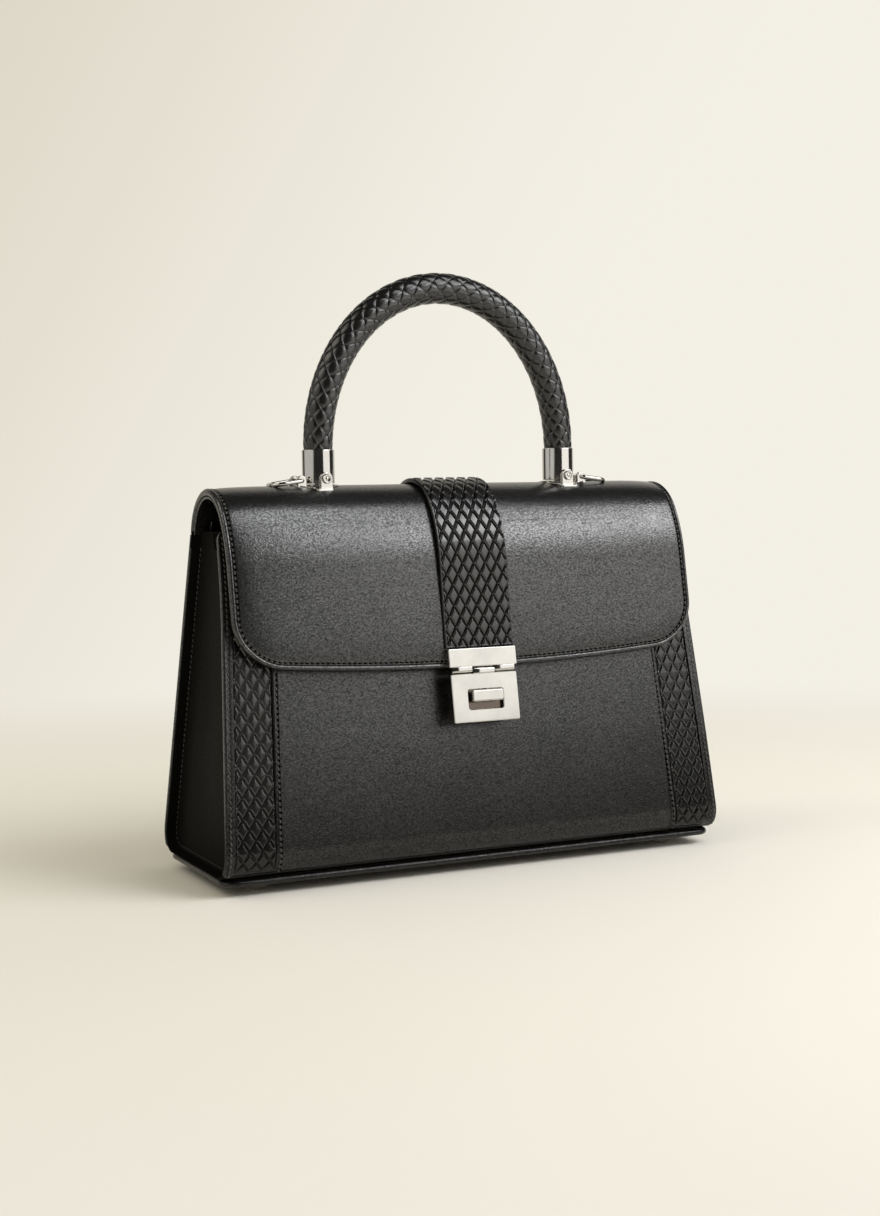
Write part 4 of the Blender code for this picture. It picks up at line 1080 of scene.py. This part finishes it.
# %% Handle
handle_half_span = 67.3 * MM
handle_rise = 80 * MM
handle_spring = arch_top + 19 * MM
handle_foot = arch_top + 6.5 * MM
braid_lead = 41 * MM
strand_count = 5
strand_share = 0.54
strand_rows = 13
strand_thickness = 1.0 * MM
weave_height = 0.36 * MM
weave_sharpness = 2.6
strand_crown = 0.14 * MM


def handle_route():
    turn = np.linspace(0, math.pi, 400)
    x = np.concatenate([[handle_half_span], handle_half_span * np.cos(turn), [-handle_half_span]])
    z = np.concatenate([[handle_foot], handle_spring + handle_rise * np.sin(turn), [handle_foot]])
    swell = 7.3 * MM + 0.5 * MM * np.sin(turn) ** 0.6
    radius = np.concatenate([[6.2 * MM], swell, [6.2 * MM]])
    walked = np.concatenate([[0], np.cumsum(np.hypot(np.diff(x), np.diff(z)))])
    return walked, x, z, radius


route_walk, route_x, route_z, route_radius = handle_route()
handle_length = route_walk[-1]


def on_handle(walk, angle, radius_change):
    """Places on the handle: along it, round it, and in or out from its outside."""
    x = np.interp(walk, route_walk, route_x)
    z = np.interp(walk, route_walk, route_z)
    step = 0.5 * MM
    dx = np.interp(walk + step, route_walk, route_x) - np.interp(walk - step, route_walk, route_x)
    dz = np.interp(walk + step, route_walk, route_z) - np.interp(walk - step, route_walk, route_z)
    size = np.hypot(dx, dz)
    radius = np.interp(walk, route_walk, route_radius) + radius_change
    outward, sideways = radius * np.cos(angle), radius * np.sin(angle)
    return x + outward * dz / size, arch_centre_y + sideways, z - outward * dx / size


def make_strand(name, number, way):
    rows = int(handle_length / (braid_lead / strand_count) * strand_rows)
    sheet = flat_sheet(name, 8, rows)
    x, y, outside = two_skins(sheet)
    x = np.sin(math.pi / 2 * x)
    walk = (y + 1) / 2 * handle_length
    radius = np.interp(walk, route_walk, route_radius) - weave_height - strand_thickness / 2
    slope = 2 * math.pi * radius / braid_lead
    length = np.hypot(1, slope)
    aside = x * strand_share * 2 * math.pi * radius / strand_count / length
    at = np.clip(walk - way * aside * slope / length, 0, handle_length)
    angle = (way * walk / braid_lead + number / strand_count) * 2 * math.pi + aside / length / radius
    crossing = strand_count / 2 * (angle + way * 2 * math.pi * at / braid_lead) - math.pi * number
    over = np.tanh(weave_sharpness * np.cos(crossing) * way) / math.tanh(weave_sharpness)
    crown = strand_crown * x ** 2
    half = strand_thickness / 2 * np.sqrt(np.clip(1.01 - x ** 6, 0.04, 1))
    change = over * weave_height - weave_height - strand_thickness / 2 - crown + np.where(outside, half, -half)
    write_points(sheet, *on_handle(at, angle, change))
    return finish_mesh(sheet)


strands = [make_strand(f"strand_{way}_{number}", number, way) for way in (1, -1) for number in range(strand_count)]
dress(joined("handle_braid", strands), braid_leather, "flap", "handle")

# %% [markdown]
# ## Lining and pocket
# Inside, suede-like cloth runs down the front, over the bottom and up the back as one sheet, and two more
# sheets close its ends. The pocket on the back wall is one sheet folded upwards, with its mouth open and
# its sides sewn down.

# %% Lining
lining_depth = 5.9 * MM
lining_thickness = 1 * MM
lining_half_width = gusset_inner - gap - 0.1 * MM


def wall_limits(z, depth):
    """Front and back of the inside at a height and a depth, round corners at the bottom included."""
    walks = np.linspace(fold_length, front_line.length, 80)
    front_y, front_z = front_line.place(walks, -depth)
    back_y, back_z = back_line.place(walks, -depth)
    radius = fold_radius - depth
    swing = np.sqrt(np.maximum(radius ** 2 - np.maximum(fold_centre_z - z, 0) ** 2, 0))
    front = np.where(z > front_z[0], np.interp(z, front_z, front_y), fold_centre_y - swing)
    back = np.where(z > back_z[0], np.interp(z, back_z, back_y), -fold_centre_y + swing)
    return front, back


def make_lining_cradle():
    sheet = flat_sheet("case_lining", 50, 150)
    x, y, outside = two_skins(sheet)
    front, bottom = front_line.length - 3 * MM, -2 * fold_centre_y
    walk = (y + 1) / 2 * (front + bottom + back_line.length - 3 * MM)
    out = np.where(outside, -lining_depth, -lining_depth - lining_thickness)
    front_y, front_z = front_line.place(np.clip(front - walk, 0, None), out)
    back_y, back_z = back_line.place(np.clip(walk - front - bottom, 0, None), out)
    on_bottom = (walk >= front) & (walk <= front + bottom)
    y = np.where(walk < front, front_y, np.where(on_bottom, fold_centre_y + walk - front, back_y))
    z = np.where(walk < front + bottom, front_z, back_z)
    write_points(sheet, x * lining_half_width * width_at(z), y, z)
    return finish_mesh(sheet)


def make_lining_end(side):
    sheet = flat_sheet("lining_end", 24, 60)
    across, up_share, outside = two_skins(sheet)
    low = fold_centre_z - fold_radius + lining_depth + 0.5 * MM
    z = low + ((up_share + 1) / 2) ** 1.3 * (mouth_z - 6 * MM - low)
    front, back = wall_limits(z, lining_depth + lining_thickness / 2)
    x = np.where(outside, lining_half_width, lining_half_width - lining_thickness)
    write_points(sheet, side * x * width_at(z), (front + back) / 2 + across * (back - front) / 2, z)
    return finish_mesh(sheet)


dress(joined("case_lining", [make_lining_cradle(), make_lining_end(-1), make_lining_end(1)]), suede, "case", "lining")

# %% [markdown]
# ## Hinge crease
# The leather runs on from the back into the flap and folds there.

# %% Hinge crease
facing_low = -7 * MM
facing_high = 9 * MM
facing_half_width = 117 * MM


def crease_strip(name, half_width, low, high, face, thickness):
    across = mirrored(spaced((1.2 * MM, 3, 1.2)), 2 * half_width, 40)
    along = mirrored(spaced((0.6 * MM, 3, 1.2)), high - low, 24) + low
    sheet, x, walk, edge, outside = rounded_sheet(name, across, along)
    out = np.where(outside, face(walk) + rolled(edge, 0.3 * MM), face(walk) - thickness - rolled(edge, 0.3 * MM))
    back_y, back_z = back_line.place(back_line.length + np.minimum(walk, 0), out)
    flap_y, flap_z = flap_line.place(np.maximum(walk, 0), out)
    write_points(sheet, x, np.where(walk < 0, back_y, flap_y), np.where(walk < 0, back_z, flap_z))
    finish_mesh(sheet)
    sheet.data.materials.clear()
    sheet.data.materials.append(black_leather)
    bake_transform(sheet)
    print(name, len(sheet.data.polygons), "faces from case to flap")


def facing_face(walk):
    """Over the lining's end on the case, and down onto the flap's underside."""
    return -7.1 * MM + 2.3 * MM * eased(share_of(walk + 3 * MM, 5 * MM))


crease_strip("hinge_crease", flap_half_width - 0.8 * MM, -3.2 * MM, 3.2 * MM,
             lambda walk: np.full_like(walk, -0.25 * MM), 0.8 * MM)
crease_strip("hinge_facing", facing_half_width, facing_low, facing_high, facing_face, 0.9 * MM)

# %% Pocket
pocket_half_width = 70 * MM
pocket_low = fold_length + 62 * MM
pocket_high = fold_length + 140 * MM
pocket_middle = lining_depth + lining_thickness + gap + 1.2 * MM
pocket_turn = 0.86 * MM
pocket_skin = 0.33 * MM


def make_pocket():
    sheet = flat_sheet("sewn_pocket", 60, 150)
    x, y, outside = two_skins(sheet)
    rise = pocket_high - pocket_low - 1.3 * MM
    fold = 3 * MM
    walked = (y + 1) / 2 * (2 * rise + fold)
    turn = share_of(walked - rise, fold) * math.pi
    x = x * pocket_half_width
    sewn = np.clip(1 - (pocket_half_width - np.abs(x)) / (4 * MM), 0, 1)
    hem = 0.12 * MM * bump_line(2 * rise + fold - walked - 4 * MM, 4 * MM)
    reach = pocket_turn + np.where(outside, pocket_skin, -pocket_skin) * (1 - 0.15 * sewn)
    pinch = 0.45 * MM * sewn * (1 - np.cos(turn)) / 2
    up_wall = np.where(walked < rise, rise - walked, np.clip(walked - rise - fold, 0, None))
    walk = pocket_low + 1.3 * MM + up_wall - reach * np.sin(turn)
    out = -pocket_middle + reach * np.cos(turn) + pinch - hem * (turn > 3)
    return bend(sheet, back_line, x, walk, out)


def inside_back(x, walk, out):
    return on_line(back_line)(x, walk, -pocket_middle - pocket_turn - pocket_skin + 0.3 * MM - out)


dress(make_pocket(), suede, "case", "inner_pocket")
x, walk = u_path(pocket_half_width - 2 * MM, 0, pocket_high - pocket_low - 3 * MM, 3 * MM)
seam("pocket_seam", inside_back, x, pocket_high - 2 * MM - walk, 0.05 * MM, "case", "inner_pocket")

# %% [markdown]
# ## Metal pieces
# The metal is cast, polished and a little rounded at every edge. A flat piece is a sheet with round
# corners whose rim rolls over, placed on the bag's face or on the flap's line. A round piece starts as a
# circle that is extruded and resized along its profile.

# %% Metal helpers
def on_face(x, up_face, out):
    return (x, -case_half_depth + up_face * math.sin(panel_lean) - out * math.cos(panel_lean),
            fold_height + up_face * math.cos(panel_lean) + out * math.sin(panel_lean))


def plate(name, place, half_width, low, high, base, face, corner, bevel=0.35 * MM, round_low=True, cells=4):
    marks = spaced((bevel, 3, 1), (corner, 4, 1))
    across = mirrored(marks, 2 * half_width, cells)
    along = low + mirrored(marks, high - low, cells)
    sheet, x, walk, edge, outside = rounded_sheet(name, across, along, len(marks) - 1, low=round_low)
    out = np.where(outside, face + rolled(edge, bevel), base - rolled(edge, 0.5 * bevel))
    write_points(sheet, *place(x, walk, out))
    return finish_mesh(sheet, 40)


def turned(name, profile, place, facets=48):
    """A round piece from (radius, height) pairs; place puts points drawn about Z on the bag."""
    bpy.ops.object.select_all(action="DESELECT")
    bpy.ops.mesh.primitive_circle_add(vertices=facets, radius=profile[0][0], fill_type="NGON")
    piece = named(name)
    bpy.ops.object.mode_set(mode="EDIT")
    bpy.ops.mesh.select_all(action="SELECT")
    for (radius, height), (next_radius, next_height) in zip(profile, profile[1:]):
        bpy.ops.mesh.extrude_region_move(TRANSFORM_OT_translate={"value": (0, 0, next_height - height)})
        grow = next_radius / radius
        bpy.ops.transform.resize(value=(grow, grow, 1))
    bpy.ops.object.mode_set(mode="OBJECT")
    spots = read_points(piece)
    write_points(piece, *place(spots[:, 0], spots[:, 1], spots[:, 2] + profile[0][1]))
    return finish_mesh(piece, 35)


# %% Lock
pin_height = 77.3 * MM
pin_out = 9.9 * MM
barrel = 1.3 * MM
tongue_half = 5.9 * MM
arm_inner = 6.2 * MM
arm_outer = 17 * MM
plate_back = 8.8 * MM
plate_face = 11 * MM
toggle_height = 64.5 * MM


def knuckle(name, left, right, reach):
    """Round at the pin, and reaching up into the bar or down into the plate."""
    turned_up = 1 if reach > 0 else -1

    def place(x, walk, out):
        return on_face(out, pin_height + turned_up * walk, pin_out + x)

    return plate(name, place, barrel, -barrel, abs(reach), base=left, face=right, corner=barrel - 0.05 * MM,
                 bevel=0.15 * MM, cells=2)


def window_plate(name, outer, inner, base, face, bevel=0.35 * MM, steps=7):
    """A frame from a torus: each of its rings becomes a bevelled section between two outlines."""

    def outline(edge, grow, out):
        middle, half_up, half_width, corner = edge
        route = loop_route(half_width + grow, half_up + grow, corner + grow, out, steps)
        return route + (0, middle, 0)

    rings = [outline(outer, 0, face - bevel), outline(outer, -bevel, face), outline(inner, bevel, face),
             outline(inner, 0, face - bevel), outline(inner, 0, base + bevel), outline(inner, bevel, base),
             outline(outer, -bevel, base), outline(outer, 0, base + bevel)]
    ring, station, outward, upward = unit_torus(name, len(rings[0]), len(rings))
    part = np.rint(np.arctan2(upward, outward) / (2 * math.pi) * len(rings)).astype(int) % len(rings)
    write_points(ring, *on_face(*np.array(rings)[part, station].T))
    return finish_mesh(ring, 40)


def round_on_face(height):
    return lambda x, y, z: on_face(x, height + y, z)


# The lock's case shows only through the window, so its dark metal is painted shade in that recess
lock_case = plate("lock_case", on_face, half_width=14 * MM, low=55 * MM, high=74 * MM, base=0.3 * MM,
                  face=8.5 * MM, corner=2 * MM, bevel=0.5 * MM)
dress(lock_case, dark_metal_and_painted_shade, "case", "lock_base")
grip = plate("turn_toggle", on_face, half_width=8.5 * MM, low=toggle_height - 2.75 * MM,
             high=toggle_height + 2.75 * MM, base=11.5 * MM, face=14 * MM, corner=1.1 * MM, bevel=0.5 * MM)
neck = turned("neck", [(2.5 * MM, 8.8 * MM), (2.2 * MM, 9.4 * MM), (2.2 * MM, 11.2 * MM), (2.6 * MM, 11.7 * MM)],
              round_on_face(toggle_height), 32)
dress(joined("turn_toggle", [grip, neck]), polished_metal, "toggle", "lock_toggle")
# Each outline is its middle's height, its half height, its half width and its corner's radius
frame_plate = window_plate("window_plate", outer=(63.8 * MM, 11.9 * MM, 18 * MM, 0.8 * MM),
                           inner=(62.95 * MM, 4.85 * MM, 9.5 * MM, 1.2 * MM), base=plate_back, face=plate_face)
tongue = knuckle("tongue", -tongue_half, tongue_half, -2.6 * MM)
dress(joined("window_plate", [frame_plate, tongue]), polished_metal, "hasp", "hasp_plate")
bar = plate("top_bar", on_face, strap_half_width, bar_bottom, bar_top, base=7.3 * MM, face=11.3 * MM,
            corner=0.8 * MM, bevel=0.4 * MM)
arms = [knuckle("arm", *sorted((side * arm_inner, side * arm_outer)), 2.6 * MM) for side, _ in sides]
dress(joined("top_bar", [bar, *arms]), polished_metal, "flap", "hasp_bar")

# %% Ferrules, mounts and screws
ear_reach = 10.9 * MM
ear_height = 3.4 * MM
lug_front = 10.6 * MM
lug_height = 4.2 * MM


def on_crown(side, across=0.0, height=0.0):
    """Round pieces that stand on the arch, upright."""
    return lambda x, y, z: (side * (handle_half_span + across) + x, arch_centre_y + y, arch_top + height + z)


def before_crown(side, across=0.0, height=0.0):
    """Pieces drawn flat and facing the front: x across, walk up, out to the front."""
    return lambda x, walk, out: (side * (handle_half_span + across) + x, arch_centre_y - out,
                                 arch_top + height + walk)


def make_mount(side, name):
    middle = side * (handle_half_span + 2.3 * MM)
    lug_x = side * handle_half_span

    def on_arch(x, walk, out):
        narrow = 1 - 0.6 * eased(share_of(walk - arch_crown - 4 * MM, 5 * MM))
        return on_line(flap_line, False)(lug_x + (x + middle - lug_x) * narrow, walk, out)

    saddle = plate(name, on_arch, half_width=11.5 * MM, low=arch_crown - 8 * MM, high=arch_crown + 11.6 * MM,
                   base=0.3 * MM, face=1.6 * MM, corner=2.5 * MM, bevel=0.5 * MM, cells=14)
    pad = turned("pad", [(8.3 * MM, -0.6 * MM), (8.6 * MM, -0.2 * MM), (8.6 * MM, 1.2 * MM), (8.2 * MM, 1.6 * MM)],
                 on_crown(side))
    lug = plate("lug", before_crown(side, 0, lug_height), half_width=3.3 * MM, low=-5.2 * MM, high=3.3 * MM,
                base=7.9 * MM, face=lug_front, corner=3.2 * MM, round_low=False, cells=2)
    ears = []
    for way in (-1, 1):
        base, face = sorted((way * 3.4 * MM, way * 5.6 * MM))
        ears.append(plate("ear", before_crown(side, ear_reach, ear_height), half_width=2.5 * MM, low=-5 * MM,
                          high=2.5 * MM, base=base, face=face, corner=2.4 * MM, round_low=False, cells=2))
    return joined(name, [saddle, pad, lug, *ears])


def make_screw(side, name):
    profile = [(1.3 * MM, 6 * MM), (1.3 * MM, 10.9 * MM), (2.4 * MM, 10.9 * MM), (2.4 * MM, 11.5 * MM),
               (2.05 * MM, 12 * MM), (1.6 * MM, 12 * MM), (1.5 * MM, 11.3 * MM), (0.9 * MM, 11.2 * MM),
               (0.35 * MM, 11.5 * MM)]
    return turned(name, profile, before_crown(side, 0, lug_height), 40)


def make_ferrule(side, name):
    profile = [(7.7 * MM, 1.9 * MM), (8.1 * MM, 2.3 * MM), (8.1 * MM, 18 * MM), (8 * MM, 18.3 * MM),
               (7.7 * MM, 18.5 * MM), (7.4 * MM, 18.4 * MM), (7.25 * MM, 18 * MM), (7.2 * MM, 16 * MM)]
    return turned(name, profile, on_crown(side), 72)


for side, word in sides:
    dress(make_ferrule(side, "ferrule_" + word), polished_metal, "flap", "handle_ferrule_" + word)
    dress(make_mount(side, "mount_" + word), polished_metal, "flap", "handle_mount_" + word)
    dress(make_screw(side, "screw_" + word), polished_metal, "flap", "mount_screw_" + word)


# %% Strap rings
def make_ring(side, name):
    near, far, half, reach, radius = 1.8 * MM, 5.5 * MM, 7.3 * MM, 14.6 * MM, 1.1 * MM
    corners = ((near, -half + near, near, 180), (reach - far, -half + far, far, 270),
               (reach - far, half - far, far, 0), (near, half - near, near, 90))
    ring = wire_loop(name, even_route(round_corners(corners, steps=8), 0.8 * MM), radius)
    spots = read_points(ring)
    tilt = math.asin((ear_height - radius - gap) / reach)
    x = spots[:, 0] * math.cos(tilt) + spots[:, 2] * math.sin(tilt)
    z = spots[:, 2] * math.cos(tilt) - spots[:, 0] * math.sin(tilt)
    write_points(ring, side * (handle_half_span + ear_reach + x), arch_centre_y + spots[:, 1],
                 arch_top + ear_height + z)
    return finish_mesh(ring)


for side, word in sides:
    dress(make_ring(side, "strap_ring_" + word + "_wire"), polished_metal, "ring_" + word, "strap_ring_" + word)

# %% Feet
foot_reach_x = 112.4 * MM
foot_reach_y = 26.4 * MM
foot_profile = [(2.6 * MM, 0), (4.3 * MM, 0.35 * MM), (5.4 * MM, 1.3 * MM), (5.9 * MM, 2.6 * MM),
                (6 * MM, 4.2 * MM), (6 * MM, 5.2 * MM), (5.7 * MM, 5.5 * MM), (1.5 * MM, 5.5 * MM),
                (1.5 * MM, 9 * MM)]

for way, row in ((-1, "front"), (1, "back")):
    for side, word in sides:
        name = "foot_" + word + "_" + row
        foot = turned(name + "_dome", foot_profile,
                      lambda x, y, z: (side * foot_reach_x + x, way * foot_reach_y + y, z), 48)
        dress(foot, polished_metal, "case", name)

# %% [markdown]
# ## Hidden pieces
# Boards, washers, plates and bolts keep the shape of their solids and only need a material.

# %% Carried nodes
finishes = {
    "handle_core": cord_core, "ferrule_grub_left": dark_metal_and_painted_shade, "ferrule_grub_right": dark_metal_and_painted_shade,
    "front_board": fibre_board, "back_board": fibre_board, "base_board": fibre_board, "flap_core": fibre_board,
}
replaced = {name for thing in bpy.data.objects for name in thing.get("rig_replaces", [])}
for name, node in frame["nodes"].items():
    if name in replaced:
        continue
    node.data.materials.clear()
    node.data.materials.append(finishes.get(name, plain_steel))

# %% [markdown]
# ## Last update
# The scene is brought up to date once every piece is dressed.

# %% Last update
bpy.context.view_layer.update()
